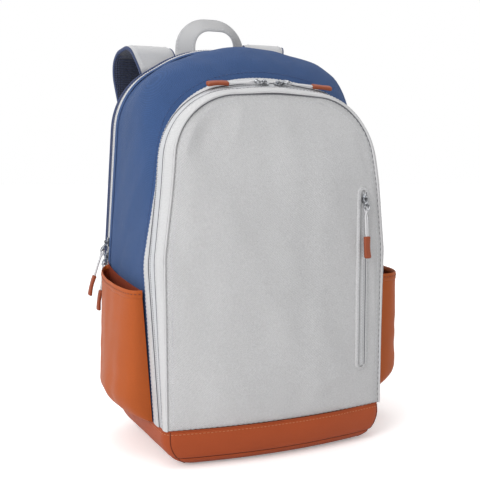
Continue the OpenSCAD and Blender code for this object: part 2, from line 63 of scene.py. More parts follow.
MM = 0.001
CENTRE = np.array([0.0, 0.0, 230.0])
# Seam above the base, and the lowest edges of the fixed cloth and of the front that drops
SEAM_Z = 43.0
FOOT_Z = SEAM_Z + 0.2
FLAP_Z = SEAM_Z + 1
# Half width at the seam and at the waist of the back, and the height of that waist
FOOT_HALF, WAIST_HALF, WAIST_Z = 140.5, 152, 205
# The shell runs from the main zip to the gusset and starts a little way from the zip
MAIN_ZIP_Y, GUSSET_Y, SHELL_GAP = 84, -62, 10.5
SHELL_RUN = MAIN_ZIP_Y - GUSSET_Y
# Along that run, as shares: where the roof starts to rise and where it is highest
ROOF_START, ROOF_AT = 0.072, 0.68
# Front panel: place at its sides, half width and bow; lower edge, inset from the seam and dip at the edge
PANEL_Y, PANEL_HALF, PANEL_BOW = -101, 140, 15
PANEL_FOOT, PANEL_INSET, PANEL_DIP = 44.3, 2.4, 2.3
# Bottle pockets: middle and half length along y, lower edge, and a point between them
POCKET_Y, POCKET_REACH, POCKET_FOOT = 5, 65.9, 44.2
POCKET_MID = (0, POCKET_Y, 120)
# Chest zip: place to the right and upper end, and a point behind the front
CHEST_X, CHEST_TOP = 107.0, 306.0
FRONT_MID = (0, 60, 230)
# Face of the back panel that the pads lie on, and the pads' thickness
PAD_Y, PAD_THICK = 98.4, 8.2
# Stitch length, gap and thread radius
BOLD_STITCH, FINE_STITCH = (3.4, 1.5, 0.42), (3.0, 1.5, 0.34)

# Camera as the photograph was taken: place and aim in metres, lens and sensor in millimetres
CAMERA_EYE, CAMERA_AIM = (-0.4381, -0.9585, 0.3477), (-0.0023, 0.0048, 0.2415)
CAMERA_LENS, SENSOR = 63.33, 36.0

# Cloth that crosses a joint: the two bodies and the stretch in metres over which it would turn; such cloth is
# kept where it is made
FRONT_BEND = ("shell", "front_flap", (0.0, -0.1178, 0.0440), (0.0, -0.1178, 0.0800))
BACK_BEND = ("shell", "back_flap", (0.0, 0.0985, 0.2000), (0.0, 0.0985, 0.2130))
LOOP_BEND = ("back_flap", "handle", (0.0, 0.1, 0.4800), (0.0, 0.1, 0.4900))


# Curves

def mix(a, b, f):
    return a + (b - a) * f


def unit(v):
    v = np.asarray(v, float)
    return v / np.linalg.norm(v)


def unit_rows(v):
    return v / np.maximum(np.linalg.norm(v, axis=-1, keepdims=True), 1e-9)


def clamp(t):
    return np.clip(t, 0, 1)


def ease(t):
    u = clamp(t)
    return u * u * (3 - 2 * u)


def bell(t):
    return np.exp(-t ** 2)


def dome(t):
    """Quarter round that rises from 0 to 1 as t does."""
    return np.sqrt(clamp(1 - clamp(1 - t) ** 2))


def set_at(p, y):
    """Line [x, z] set at the place y."""
    return np.stack(np.broadcast_arrays(p[:, 0], y, p[:, 1]), 1)


def circle(count):
    return np.linspace(0, 2 * math.pi, count, endpoint=False)


def squared(count, px, py):
    """Round section whose sides are squared: powers below 1 fill the corners."""
    c, s = np.cos(circle(count)), np.sin(circle(count))
    return np.sign(c) * np.abs(c) ** px, np.sign(s) * np.abs(s) ** py


def corner_arc(a, b, c, r, n):
    """Arc of radius r that rounds the corner b between a and c."""
    a, b, c = np.array(a, float), np.array(b, float), np.array(c, float)
    u, v = unit(a - b), unit(c - b)
    half = math.acos(float(np.clip(u @ v, -1, 1))) / 2
    o = b + unit(u + v) * r / math.sin(half)
    p = b + u * r / math.tan(half) - o
    q = b + v * r / math.tan(half) - o
    start = math.atan2(p[1], p[0])
    turn = math.atan2(p[0] * q[1] - p[1] * q[0], p @ q)
    t = start + turn * np.arange(n + 1) / n
    return o + r * np.stack([np.cos(t), np.sin(t)], 1)


def between(a, b, n):
    f = (np.arange(n) + 1) / (n + 1)
    return np.asarray(a) + (np.asarray(b) - np.asarray(a)) * f[:, None]


def looped(line):
    return np.vstack([line, line[:1]])


def path_run(line):
    """Length along a line up to each of its points."""
    return np.concatenate([[0], np.cumsum(np.linalg.norm(np.diff(line, axis=0), axis=1))])


def at_run(t, s, line):
    return np.stack([np.interp(t, s, line[:, k]) for k in range(line.shape[1])], 1)


def resample(line, n, closed=False):
    line = np.asarray(line, float)
    if closed:
        line = looped(line)
    s = path_run(line)
    t = np.linspace(0, s[-1], n + 1)[:-1] if closed else np.linspace(0, s[-1], n)
    return at_run(t, s, line)


def graded(profile, n):
    """A profile with n points, spread evenly over its own points."""
    profile = np.array(profile, float)
    return at_run(np.linspace(0, 1, n), np.linspace(0, 1, len(profile)), profile)


def rounded_outline(w, h, r, cz):
    pts = []
    for sx, sz, a in ((1, 1, 0), (-1, 1, 90), (-1, -1, 180), (1, -1, 270)):
        for q in np.radians(a + np.linspace(0, 90, 12)):
            pts.append((sx * (w / 2 - r) + r * math.cos(q), cz + sz * (h / 2 - r) + r * math.sin(q)))
    return np.array(pts)


# Arches of the body

def arch(y, lean, foot, waist, shoulder, crown):
    """Cross-section: place along y, share of the front's lean, half width at the seam,
    waist and shoulder as x, z and radius, crown as z and radius."""
    return [y, lean, foot, np.array(waist, float), np.array(shoulder, float), np.array(crown, float)]


ARCH_BACK = arch(MAIN_ZIP_Y, 0, FOOT_HALF, (WAIST_HALF, WAIST_Z, 120), (137, 428, 90), (510, 150))
ARCH_GUSSET = arch(GUSSET_Y, 1, FOOT_HALF, (151, 228, 120), (115, 418, 100), (443, 230))
ARCH_FRONT_ZIP = arch(-85, 1, FOOT_HALF, (152, 228, 120), (133, 413, 92), (432, 330))
ARCH_SEAM = arch(PANEL_Y, 1, 139.5, (140.5, 237, 120), (120, 412, 78), (419.5, 300))
ROOF_Y = mix(MAIN_ZIP_Y, GUSSET_Y, ROOF_AT)
ARCH_ROOF = arch(ROOF_Y, 0.2, FOOT_HALF, (152, 207, 120), (136.5, 455.5, 80), (480, 300))


def mix_arch(a, b, f):
    return [mix(p, q, f) for p, q in zip(a, b)]


def shell_arch(f):
    """Arch of the shell at a share of its run, raised to the roof's arch on the way."""
    if f < ROOF_AT:
        share = float(ease((f - ROOF_START) / (ROOF_AT - ROOF_START)))
    else:
        share = 1 - ((f - ROOF_AT) / (1 - ROOF_AT)) ** 2
    plain, there = mix_arch(ARCH_BACK, ARCH_GUSSET, f), mix_arch(ARCH_BACK, ARCH_GUSSET, ROOF_AT)
    return [p + share * (r - q) for p, q, r in zip(plain, there, ARCH_ROOF)]


def drawn_in(a, s, y):
    """An arch drawn in by s all round, at another place along y."""
    return [y, a[1], a[2] - s, a[3] - [s, 0, 0], a[4] - [s, 0.4 * s, 0], a[5] - [1.42 * s, s]]


def half_arch(a, z0):
    """Left half of an arch [x, z], from the height z0 to the middle of the crown."""
    foot, (waist_x, waist_z, waist_r), (x, z, r), (crown_z, crown_r) = a[2:]
    waist, shoulder, crown = (-waist_x, waist_z), (-x, z), (0, crown_z)
    if z0 > waist_z:
        slope = (waist_x - x) / (z - waist_z)
        rise = np.array([[-(waist_x - slope * (z0 - waist_z)), z0]])
    else:
        low = np.array([-mix(foot, waist_x, (z0 - SEAM_Z) / (waist_z - SEAM_Z)), z0])
        bend = corner_arc(low, waist, shoulder, waist_r, 8)
        rise = np.vstack([low[None], between(low, bend[0], 22), bend])
    top = corner_arc(waist, shoulder, crown, r, 18)
    cap = corner_arc(shoulder, crown, (x, z), crown_r, 48)[:25]
    return np.vstack([rise, between(rise[-1], top[0], 24), top, between(top[-1], cap[0], 6), cap])


def whole(half):
    """Left half of a line [x, z] with its mirror image."""
    return np.vstack([half, half[-2::-1] * [-1, 1]])


def lean_at(z):
    """How far the front leans back at the height z."""
    return 8.5 * ease((z - 300) / 105)


def front_y(x, z):
    """Place along y of the bowed and leaning front."""
    bow = PANEL_BOW * mix(1, 0.2, ease((z - 310) / 110))
    return lean_at(z) + PANEL_Y - bow * (1 - (x / PANEL_HALF) ** 2)


def arch_ring(a, z0):
    p = whole(half_arch(a, z0))
    return set_at(p, a[0] + a[1] * lean_at(p[:, 1]))


def seam_ring(z0):
    p = whole(half_arch(ARCH_SEAM, z0))
    return set_at(p, front_y(p[:, 0], p[:, 1]))


def panel_line(inset):
    """Line on the front panel at a distance inside its edge."""
    p = whole(half_arch(drawn_in(ARCH_SEAM, PANEL_INSET + inset, PANEL_Y), PANEL_FOOT + inset))
    return set_at(p, front_y(p[:, 0], p[:, 1]) + PANEL_DIP * math.exp(-inset / 4.0))


def flank_x(z):
    return mix(FOOT_HALF, WAIST_HALF, (z - SEAM_Z) / (WAIST_Z - SEAM_Z))


def bite(r, z):
    """How far a lower edge of radius r draws in at the height z."""
    return 0.0 if z >= r else r - math.sqrt(r * r - (r - z) ** 2)


def base_ring(z, t=0.0, n=480):
    """Outline of the base at the height z, inside its wall by t."""
    x = FOOT_HALF - bite(36, z) - t
    f = -PANEL_Y - bite(16, z) - t
    b = 98 - bite(40, z) - t
    bow = 27 * (x / FOOT_HALF) ** 2
    front_r = 0.78 * math.hypot(x, bow) * x / bow
    p = [(-x, -f), (0, -f - bow), (x, -f), (x, b), (-x, b)]
    r = [14 - t, front_r, 14 - t, 34 - t, 34 - t]
    line = np.vstack([corner_arc(p[i - 1], p[i], p[(i + 1) % 5], r[i], 16) for i in range(5)])
    line = resample(line, n, closed=True)
    return np.column_stack([line, np.full(len(line), z)])


CHEST_Y = front_y(CHEST_X, 200.0)
CHEST_OUT = unit([2 * PANEL_BOW * CHEST_X / PANEL_HALF ** 2, -1, 0])
REAR_RINGS = arch_ring(ARCH_GUSSET, FOOT_Z), arch_ring(ARCH_FRONT_ZIP, FOOT_Z)
FRONT_RINGS = arch_ring(ARCH_FRONT_ZIP, FLAP_Z), seam_ring(FLAP_Z)


# Cloth noise and grids

def wobble(p, length, seed):
    """Smooth seeded noise of about unit height at the points p."""
    rng = np.random.default_rng(seed)
    total = np.zeros(p.shape[:-1])
    for _ in range(7):
        k = unit(rng.normal(size=3)) * 2 * math.pi / (length * rng.uniform(0.7, 1.5))
        total += np.sin(p @ k + rng.uniform(0, 6.28))
    return total / 3.0


def column_steps(grid, closed):
    if closed:
        return np.roll(grid, -1, 1) - np.roll(grid, 1, 1)
    return np.gradient(grid, axis=1)


def normals(grid, centre=CENTRE, closed=False):
    """Directions square to a grid, on the side away from a centre."""
    n = unit_rows(np.cross(column_steps(grid, closed), np.gradient(grid, axis=0)))
    return -n if np.sum(n * (grid - np.asarray(centre))) < 0 else n


def strip(rings, first, last, n):
    """Grid between two rings, from one share of the way to another."""
    return np.array([mix(*rings, f) for f in np.linspace(first, last, n)])


def spread(edge, y, count):
    """Grid across the body between a left edge [x, z] and its mirror image."""
    x = -np.outer(edge[:, 0], np.linspace(-1, 1, count))
    return np.dstack(np.broadcast_arrays(x, np.reshape(y, (-1, 1)), edge[:, 1:]))


def softened(grid, puff, wave, length, pucker, seed, reach=14.0):
    """Cloth between two seams: full in the middle, drawn and puckered at the seams."""
    down = np.linalg.norm(np.diff(grid, axis=0), axis=-1)
    down = np.concatenate([np.zeros((1, grid.shape[1])), np.cumsum(down, 0)])
    edge = np.minimum(down, down[-1] - down)
    across = np.linalg.norm(np.diff(grid, axis=1), axis=-1)
    across = np.concatenate([np.zeros((grid.shape[0], 1)), np.cumsum(across, 1)], 1)
    fade = 1 - np.exp(-edge / reach)
    drape = wobble(grid, length, seed) + 0.5 * wobble(grid, length * 0.45, seed + 1)
    lift = puff * fade + wave * fade * drape
    gather = np.sin(across * 2 * math.pi / 7.5 + 2.2 * wobble(grid, 40, seed + 2))
    lift += pucker * gather * np.exp(-edge / 5.0)
    return grid + normals(grid) * lift[..., None]


def row_line(grid, r):
    """Line along a grid at the row r, which may lie between two rows, and its normals."""
    n = normals(grid)
    lo = int(min(max(math.floor(r), 0), grid.shape[0] - 2))
    return mix(grid[lo], grid[lo + 1], r - lo), mix(n[lo], n[lo + 1], r - lo)


# Meshes

def add(name, data):
    obj = bpy.data.objects.new(name, data)
    bpy.context.scene.collection.objects.link(obj)
    return obj


def new_mesh(name, verts, faces):
    mesh = bpy.data.meshes.new(name)
    mesh.from_pydata([tuple(v) for v in np.asarray(verts) * MM], [], [list(f) for f in faces])
    return mesh


def make(name, verts, faces, mats, index=None, sharp=50):
    mesh = new_mesh(name, verts, faces)
    for m in mats:
        mesh.materials.append(m)
    if index is not None:
        mesh.polygons.foreach_set("material_index", np.asarray(index, np.int32))
    mesh.polygons.foreach_set("use_smooth", np.ones(len(mesh.polygons), bool))
    mesh.set_sharp_from_angle(angle=math.radians(sharp))
    mesh.update()
    return add(name, mesh)


def dress(obj, body, slot, *nodes):
    """Hang a piece on the body that carries it, or keep it in place when a bend is given, and hide the solids
    that it stands for; the slot is not used.
    """
    if isinstance(body, str):
        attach(obj, body)
    else:
        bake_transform(obj)
    if nodes:
        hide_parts(*nodes)
    return obj


def grid_faces(rows, cols, closed=False, start=0, flip=False):
    faces = []
    for r in range(start, start + (rows - 1) * cols, cols):
        for c in range(cols if closed else cols - 1):
            d = (c + 1) % cols
            f = [r + c, r + d, r + cols + d, r + cols + c]
            faces.append(f[::-1] if flip else f)
    return faces


def cloth(name, grid, thick, mats, body, slot, *nodes, centre=CENTRE):
    """Cloth of a thickness: outer grid, inner grid and turned edges."""
    n = normals(grid, centre)
    flip = np.sum(np.cross(column_steps(grid, False), np.gradient(grid, axis=0)) * n) < 0
    rows, cols = grid.shape[:2]
    size = rows * cols
    outer = grid_faces(rows, cols, False, 0, flip)
    inner = grid_faces(rows, cols, False, size, not flip)
    end = size - cols
    rims = []
    for c in range(cols - 1):
        rims.append([c, c + size, c + 1 + size, c + 1])
        rims.append([end + c, end + c + 1, end + c + 1 + size, end + c + size])
    for a in range(0, end, cols):
        rims.append([a, a + cols, a + cols + size, a + size])
        b = a + cols - 1
        rims.append([b, b + size, b + cols + size, b + cols])
    if flip:
        rims = [f[::-1] for f in rims]
    verts = np.vstack([grid.reshape(-1, 3), (grid - n * thick).reshape(-1, 3)])
    index = [0] * len(outer) + [len(mats) - 1] * len(inner) + [0] * len(rims)
    dress(make(name, verts, outer + inner + rims, mats, index), body, slot, *nodes)


class Heap:
    """Many small solids gathered in one mesh."""

    def __init__(self):
        self.verts = []
        self.faces = []
        self.count = 0

    def add(self, verts, faces):
        self.verts.append(np.asarray(verts, float))
        self.faces += [[i + self.count for i in f] for f in faces]
        self.count += len(verts)

    def done(self, name, mat, sharp=60):
        return make(name, np.vstack(self.verts), self.faces, [mat], sharp=sharp)


def loft(rings):
    rings = np.asarray(rings, float)
    rows, cols = rings.shape[:2]
    ends = [list(range(cols))[::-1], [(rows - 1) * cols + c for c in range(cols)]]
    return rings.reshape(-1, 3), grid_faces(rows, cols, True) + ends


def line_frames(line, hint):
    """Directions along a line, towards the hint and across."""
    t = unit_rows(np.gradient(line, axis=0))
    hint = np.broadcast_to(np.asarray(hint, float), line.shape)
    n = unit_rows(hint - np.sum(hint * t, 1, keepdims=True) * t)
    return t, n, np.cross(t, n)


def tube(heap, line, hint, rn, rb, sides=8, end=1.0):
    """Tube of half height rn and half width rb along a line, with its ends scaled."""
    line = np.asarray(line, float)
    _, n, b = line_frames(line, hint)
    a = circle(sides)
    scale = np.ones(len(line))
    scale[0] = scale[-1] = end
    heap.add(*loft([p + s * (np.outer(np.cos(a), nn) * rn + np.outer(np.sin(a), bb) * rb)
                    for p, nn, bb, s in zip(line, n, b, scale)]))


def stitches(heap, line, hint, length, gap, radius):
    line = np.asarray(line, float)
    hint = np.broadcast_to(np.asarray(hint, float), line.shape)
    s = path_run(line)
    n = max(int(s[-1] / (length + gap)), 1)
    sink = np.array([-0.5, 0.1, 0.25, 0.1, -0.5])[:, None] * radius + 0.15
    for k in range(n):
        t = (k + 0.5) / n * s[-1] + np.array([-0.5, -0.3, 0, 0.3, 0.5]) * length
        h = unit_rows(at_run(t, s, hint))
        tube(heap, at_run(t, s, line) + h * sink, h, radius * 0.8, radius, 5, 0.45)


def sewn(name, rows, size, mat, body, slot):
    """Rows of stitches, each given as a line and its outward directions."""
    heap = Heap()
    for line, hint in rows:
        stitches(heap, line, hint, *size)
    dress(heap.done(name, mat), body, slot)


def piped(name, rows, size, mat, body, slot):
    """Tubes of one size, each given as a line and its outward directions."""
    heap = Heap()
    for line, hint in rows:
        tube(heap, line, hint, *size)
    dress(heap.done(name, mat), body, slot)


def coil(name, line, hint, body, pitch=1.7, half=1.5, side=0):
    """Coil of a zip: small bent teeth on one side of the line, or on both."""
    heap = Heap()
    count = int(path_run(line)[-1] / pitch)
    pts = resample(line, count)
    t, n, b = line_frames(pts, resample(hint, count))
    for k in range(count):
        s = 1 if k % 2 else -1
        if side and s != side:
            continue
        p = pts[k] + b[k] * s * half * 0.35
        ring = []
        for u, w in ((-1.0, 0.55), (-0.4, 1.0), (0.5, 0.9), (1.0, 0.5)):
            c = p + b[k] * s * half * u * 0.8
            ring.append([c + n[k] * 0.55 * w, c + t[k] * 0.5 * w, c - n[k] * 0.35 * w, c - t[k] * 0.5 * w])
        heap.add(*loft(ring))
    dress(heap.done(name, COIL, 80), body, "white_cloth")


# Finishes

def shade(rgb, f):
    """Linear colour of an 8-bit colour, made darker or lighter by a factor."""
    def one(c):
        c /= 255.0
        c = c / 12.92 if c <= 0.04045 else ((c + 0.055) / 1.055) ** 2.4
        return min(c * f, 1)
    return (*map(one, rgb), 1.0)


class Nodes:
    """Node tree with short calls for what the finishes need."""

    def __init__(self, owner):
        owner.use_nodes = True
        self.tree = owner.node_tree

    def put(self, socket, value):
        if isinstance(value, bpy.types.NodeSocket):
            self.tree.links.new(value, socket)
        else:
            socket.default_value = value

    def node(self, kind, **inputs):
        n = self.tree.nodes.new(kind)
        for key, value in inputs.items():
            self.put(n.inputs[key.replace("_", " ")], value)
        return n

    def math(self, op, a, b=0.0):
        n = self.node("ShaderNodeMath")
        n.operation = op
        self.put(n.inputs[0], a)
        self.put(n.inputs[1], b)
        return n.outputs[0]

    def plus(self, a, b):
        return self.math("ADD", a, b)

    def times(self, a, b):
        return self.math("MULTIPLY", a, b)


class Finish(Nodes):
    """Material whose textures lie in the object's own frame."""

    def __init__(self, name):
        self.mat = bpy.data.materials.new(name)
        super().__init__(self.mat)
        self.shader = self.tree.nodes["Principled BSDF"]
        self.coord = self.node("ShaderNodeTexCoord").outputs["Object"]

    def noise(self, scale, detail, rough):
        n = self.node("ShaderNodeTexNoise", Scale=scale, Detail=detail, Roughness=rough, Vector=self.coord)
        return n.outputs["Fac"]

    def cells(self, scale):
        return self.node("ShaderNodeTexVoronoi", Scale=scale, Vector=self.coord).outputs["Distance"]

    def threads(self):
        """Distance across and up the cloth, whichever way it faces."""
        x, y, z = self.node("ShaderNodeSeparateXYZ", Vector=self.coord).outputs
        return self.plus(x, self.times(y, 0.92)), self.plus(z, self.times(y, 0.35))

    def wave(self, value, pitch):
        return self.math("SINE", self.times(value, 2 * math.pi / pitch))

    def scale_to(self, value, low, high):
        return self.node("ShaderNodeMapRange", Value=value, To_Min=low, To_Max=high).outputs["Result"]

    def blend(self, fac, a, b):
        n = self.node("ShaderNodeMix", Factor=fac)
        n.data_type = "RGBA"
        self.put(n.inputs[6], a)
        self.put(n.inputs[7], b)
        return n.outputs[2]

    def tint(self, tone, rgb, low, high):
        self.set(Base_Color=self.blend(tone, shade(rgb, low), shade(rgb, high)))

    def bump(self, height, strength, distance):
        n = self.node("ShaderNodeBump", Strength=strength, Distance=distance, Height=height)
        self.set(Normal=n.outputs["Normal"])

    def set(self, **values):
        for key, value in values.items():
            self.put(self.shader.inputs[key.replace("_", " ")], value)


def woven(name, rgb, pitch, contrast, mottle, rough, sheen, depth=0.0004, grain=900.0):
    """Plain weave: thread pitch, steps of tone in threads and patches, roughness, sheen and relief."""
    f = Finish(name)
    across, up = f.threads()
    weave = f.times(f.wave(across, pitch), f.wave(up, pitch))
    fine = f.noise(grain, 3.0, 0.7)
    broad = f.noise(14.0, 2.0, 0.5)
    patch = f.times(f.math("SUBTRACT", broad, 0.5), mottle / contrast)
    f.tint(f.plus(f.plus(f.times(weave, 0.22), fine), patch), rgb, 1 - contrast, 1 + contrast)
    f.set(Roughness=f.scale_to(fine, rough - 0.08, rough + 0.08))
    f.set(Sheen_Weight=sheen, Sheen_Roughness=0.45, Specular_IOR_Level=0.25)
    f.bump(f.plus(weave, f.times(fine, 1.6)), 0.55, depth)
    return f.mat


def coated(name, rgb, rough=0.5):
    """Coated cloth with a fine grain and a satin face."""
    f = Finish(name)
    grain = f.cells(1150.0)
    fine = f.noise(520.0, 3.0, 0.6)
    broad = f.noise(11.0, 3.0, 0.55)
    f.tint(f.plus(f.times(fine, 0.35), f.times(broad, 0.65)), rgb, 0.80, 1.22)
    f.set(Roughness=f.scale_to(fine, rough - 0.10, rough + 0.12))
    f.set(Specular_IOR_Level=0.22, Sheen_Weight=0.02, Sheen_Roughness=0.5)
    f.bump(f.plus(f.times(grain, 0.7), fine), 0.35, 0.0003)
    return f.mat


def air_mesh(name, rgb, pitch=0.0036):
    """Spacer mesh with slanted rows of holes."""
    f = Finish(name)
    across, up = f.threads()
    slant = f.times(up, 0.6)
    holes = f.times(f.wave(f.plus(across, slant), pitch), f.wave(f.math("SUBTRACT", across, slant), pitch))
    fine = f.noise(1200.0, 2.0, 0.6)
    f.tint(f.plus(f.scale_to(holes, 0.0, 0.9), f.times(fine, 0.25)), rgb, 0.35, 1.5)
    f.set(Roughness=f.scale_to(fine, 0.72, 0.92), Sheen_Weight=0.3, Sheen_Roughness=0.5)
    f.bump(holes, 0.8, 0.0009)
    return f.mat


def webbing(name, rgb, rib=0.0021):
    """Ribbed band or twisted thread."""
    f = Finish(name)
    ribs = f.wave(f.threads()[1], rib)
    fine = f.noise(1400.0, 2.0, 0.6)
    f.tint(f.plus(f.scale_to(ribs, 0.1, 0.6), f.times(fine, 0.4)), rgb, 0.75, 1.25)
    f.set(Roughness=f.scale_to(fine, 0.6, 0.8), Sheen_Weight=0.2, Sheen_Roughness=0.4)
    f.bump(f.plus(ribs, fine), 0.6, 0.0004)
    return f.mat


def metal(name, rgb):
    """Plated metal with darker patches of painted reflection and shade."""
    f = Finish(name)
    fine = f.noise(700.0, 4.0, 0.65)
    # Dark patches painted into the colour: painted reflection and shade
    f.tint(f.scale_to(f.noise(330.0, 2.0, 0.5), -1.0, 2.2), rgb, 0.16, 1.15)
    f.set(Metallic=1.0, Roughness=f.scale_to(fine, 0.22, 0.42))
    f.bump(fine, 0.15, 0.0001)
    return f.mat


def moulded(name, rgb, rough=0.45):
    f = Finish(name)
    fine = f.noise(900.0, 3.0, 0.6)
    f.tint(f.noise(90.0, 2.0, 0.5), rgb, 0.85, 1.15)
    f.set(Roughness=f.scale_to(fine, rough - 0.08, rough + 0.12), Specular_IOR_Level=0.45)
    f.bump(fine, 0.25, 0.00015)
    return f.mat


def floor_paper():
    """Pale floor that keeps its shadow; the camera sees it a little brighter than the object does."""
    f = Finish("floor_paper")
    f.set(Base_Color=f.blend(f.noise(60.0, 2.0, 0.5), (0.96, 0.96, 0.96, 1), (0.985, 0.985, 0.985, 1)))
    f.set(Roughness=0.9, Specular_IOR_Level=0.1, Emission_Color=(1.0, 1.0, 1.0, 1.0))
    path = f.node("ShaderNodeLightPath")
    f.set(Emission_Strength=f.times(path.outputs["Is Camera Ray"], 0.3))
    return f.mat


BLUE = woven("blue_cloth", (54, 80, 124), 0.0016, 0.38, 0.10, 0.88, 0.06)
WHITE = woven("white_cloth", (201, 201, 202), 0.0014, 0.13, 0.04, 0.78, 0.04, 0.00025)
GREY = woven("grey_cloth", (199, 199, 200), 0.0019, 0.26, 0.05, 0.88, 0.05, 0.0006, 620.0)
STRAP = woven("strap_cloth", (204, 204, 205), 0.0014, 0.10, 0.05, 0.85, 0.05)
# Handle webbing, darker than the strap cloth: partly its own tone, partly painted shade of the handle's
# underside
HANDLE_SHADED_WEBBING = woven("handle_webbing", (184, 184, 185), 0.0014, 0.14, 0.05, 0.85, 0.05)
RUST = coated("rust_coated_cloth", (160, 71, 33))
POCKET = coated("rust_pocket_cloth", (167, 80, 30))
# Darker copy of the pockets' coated cloth for their insides: painted shade of the pocket's hollow
RUST_SHADED_INSIDE = coated("rust_lining", (136, 56, 30), 0.6)
LINING = woven("navy_lining", (30, 40, 66), 0.0011, 0.25, 0.10, 0.60, 0.2, 0.0002)
MESH = air_mesh("navy_mesh", (30, 42, 74))
BIND = webbing("navy_binding", (52, 66, 104), 0.0016)
NAVY_WEB = webbing("navy_webbing", (34, 44, 72))
PLASTIC = moulded("dark_plastic", (32, 38, 54))
METAL = metal("zip_metal", (202, 204, 208))
CORD = webbing("pull_cord", (222, 222, 224), 0.0011)
SLEEVE = moulded("pull_sleeve", (142, 66, 34), 0.5)
THREAD_WHITE = webbing("white_thread", (214, 215, 219), 0.0007)
THREAD_BLUE = webbing("blue_thread", (50, 74, 124), 0.0007)
THREAD_RUST = webbing("rust_thread", (112, 48, 24), 0.0007)
THREAD_TAN = webbing("tan_thread", (192, 116, 70), 0.0007)
SEAM_RUST = woven("rust_seam", (96, 40, 22), 0.0009, 0.2, 0.1, 0.8, 0.0, 0.0002)
COIL = moulded("zip_coil", (214, 215, 218), 0.4)
# Dark grey of the thin lines laid along seams and zip edges: painted shadow of the grooves there
PAINTED_SHADOW_LINE = woven("seam_shadow", (112, 113, 118), 0.0009, 0.2, 0.1, 0.9, 0.0, 0.0002)
TAPE = woven("zip_tape", (196, 197, 200), 0.0010, 0.12, 0.06, 0.8, 0.02, 0.0002)


# Camera, light and floor

def look_at(obj, eye, aim):
    eye = np.array(eye)
    z = unit(eye - np.array(aim))
    x = unit(np.cross((0, 0, 1), z))
    y = np.cross(z, x)
    obj.matrix_world = Matrix([[x[i], y[i], z[i], eye[i]] for i in range(3)] + [[0, 0, 0, 1]])


def area_light(name, eye, aim, size, power):
    light = bpy.data.lights.new(name, "AREA")
    light.shape = "DISK"
    light.size = size
    light.energy = power
    look_at(add(name, light), eye, aim)


def sky(world):
    """Soft light, strongest from behind and above on the left; the camera and gloss see plain white."""
    n = Nodes(world)
    back = n.tree.nodes["Background"]
    back.inputs["Color"].default_value = (1.0, 1.0, 1.0, 1.0)
    side = n.node("ShaderNodeVectorMath")
    side.operation = "DOT_PRODUCT"
    n.put(side.inputs[0], n.node("ShaderNodeTexCoord").outputs["Generated"])
    n.put(side.inputs[1], (-0.42, 0.45, 0.75))
    ramp = n.node("ShaderNodeMapRange", Value=side.outputs["Value"], From_Min=-0.6, From_Max=0.6,
                  To_Min=0.20, To_Max=0.96)
    path = n.node("ShaderNodeLightPath")
    shown = n.math("MAXIMUM", path.outputs["Is Camera Ray"], path.outputs["Is Glossy Ray"])
    seen = n.node("ShaderNodeMix", Factor=shown, A=ramp.outputs["Result"], B=1.0)
    n.put(back.inputs["Strength"], seen.outputs["Result"])


def studio():
    scene = bpy.context.scene
    scene.view_settings.view_transform = "Standard"
    camera = bpy.data.cameras.new("camera")
    camera.lens = CAMERA_LENS
    camera.sensor_width = SENSOR
    scene.camera = add("camera", camera)
    look_at(scene.camera, CAMERA_EYE, CAMERA_AIM)
    scene.world = bpy.data.worlds.new("studio")
    sky(scene.world)
    area_light("key", (-1.9, -1.3, 1.4), (0.0, 0.0, 0.25), 1.2, 24.0)
    area_light("top", (-0.2, -0.1, 2.2), (0.0, 0.0, 0.2), 1.6, 8.0)
    radius, below = 9000.0, -0.4
    rim = [(radius * math.cos(a), radius * math.sin(a), below) for a in circle(96)]
    floor = add("floor", new_mesh("floor", rim, [range(96)]))
    floor.data.materials.append(floor_paper())


# Body

def body_shell():
    shares = 1 - (1 - SHELL_GAP / SHELL_RUN) * np.linspace(1, 0, 72) ** 1.25
    grid = np.array([arch_ring(shell_arch(f), FOOT_Z) for f in shares])
    x, z = grid[..., 0], grid[..., 2]
    # The left shoulder hangs a little slack, so that the zip shows over it
    drop, mid_x, wide, foot, rise = 6.5, -88, 48, 395, 45
    slack = np.sin(math.pi * clamp((shares - ROOF_START) / (1 - ROOF_START)))[:, None] ** 0.7
    grid[..., 2] -= drop * slack * bell((x - mid_x) / wide) * ease((z - foot) / rise)
    grid = softened(grid, 0.9, 0.85, 62.0, 0.14, 11)
    cloth("main_shell_cloth", grid, 1.8, [BLUE, LINING], "shell", "blue_cloth", "main_shell")
    rows = [row_line(grid, r) for r in (65.5, 1.2)]
    sewn("shell_stitches", rows, BOLD_STITCH, THREAD_BLUE, "shell", "blue_cloth")


def gussets():
    # Name, rings, span and rows between them; puff, pucker, seed and reach; stitched rows; what carries it
    forms = (("rear", REAR_RINGS, (0.0, 0.79, 22), (1.1, 0.07, 21, 3.5), (2.4, 18.6), "shell"),
             ("front", FRONT_RINGS, (0.36, 0.97, 20), (1.0, 0.08, 31, 3.0), (3.0,), FRONT_BEND))
    for name, rings, span, (puff, pucker, seed, reach), rows, body in forms:
        part = name + "_gusset"
        grid = softened(strip(rings, *span), puff, 0.2, 40.0, pucker, seed, reach)
        cloth(part + "_cloth", grid, 1.6, [WHITE, LINING], body, "white_cloth", part)
        lines = [row_line(grid, r) for r in rows]
        sewn(part + "_stitches", lines, FINE_STITCH, THREAD_WHITE, body, "white_cloth")

    line = (seam_ring(FLAP_Z) + [0, 0.6, 0]) * [0.991, 1, 1]
    piped("front_seam_piping", [(line, line - CENTRE)], (1.35, 1.35, 8), WHITE, FRONT_BEND, "white_cloth")
    # A dark tube just inside the panel's seam: painted shadow of the groove between piping and panel
    line = panel_line(-0.6) - [0, 0.9, 0]
    piped("front_seam_line", [(line, line - CENTRE)], (0.9, 0.9, 8), PAINTED_SHADOW_LINE, FRONT_BEND, "grey_cloth")


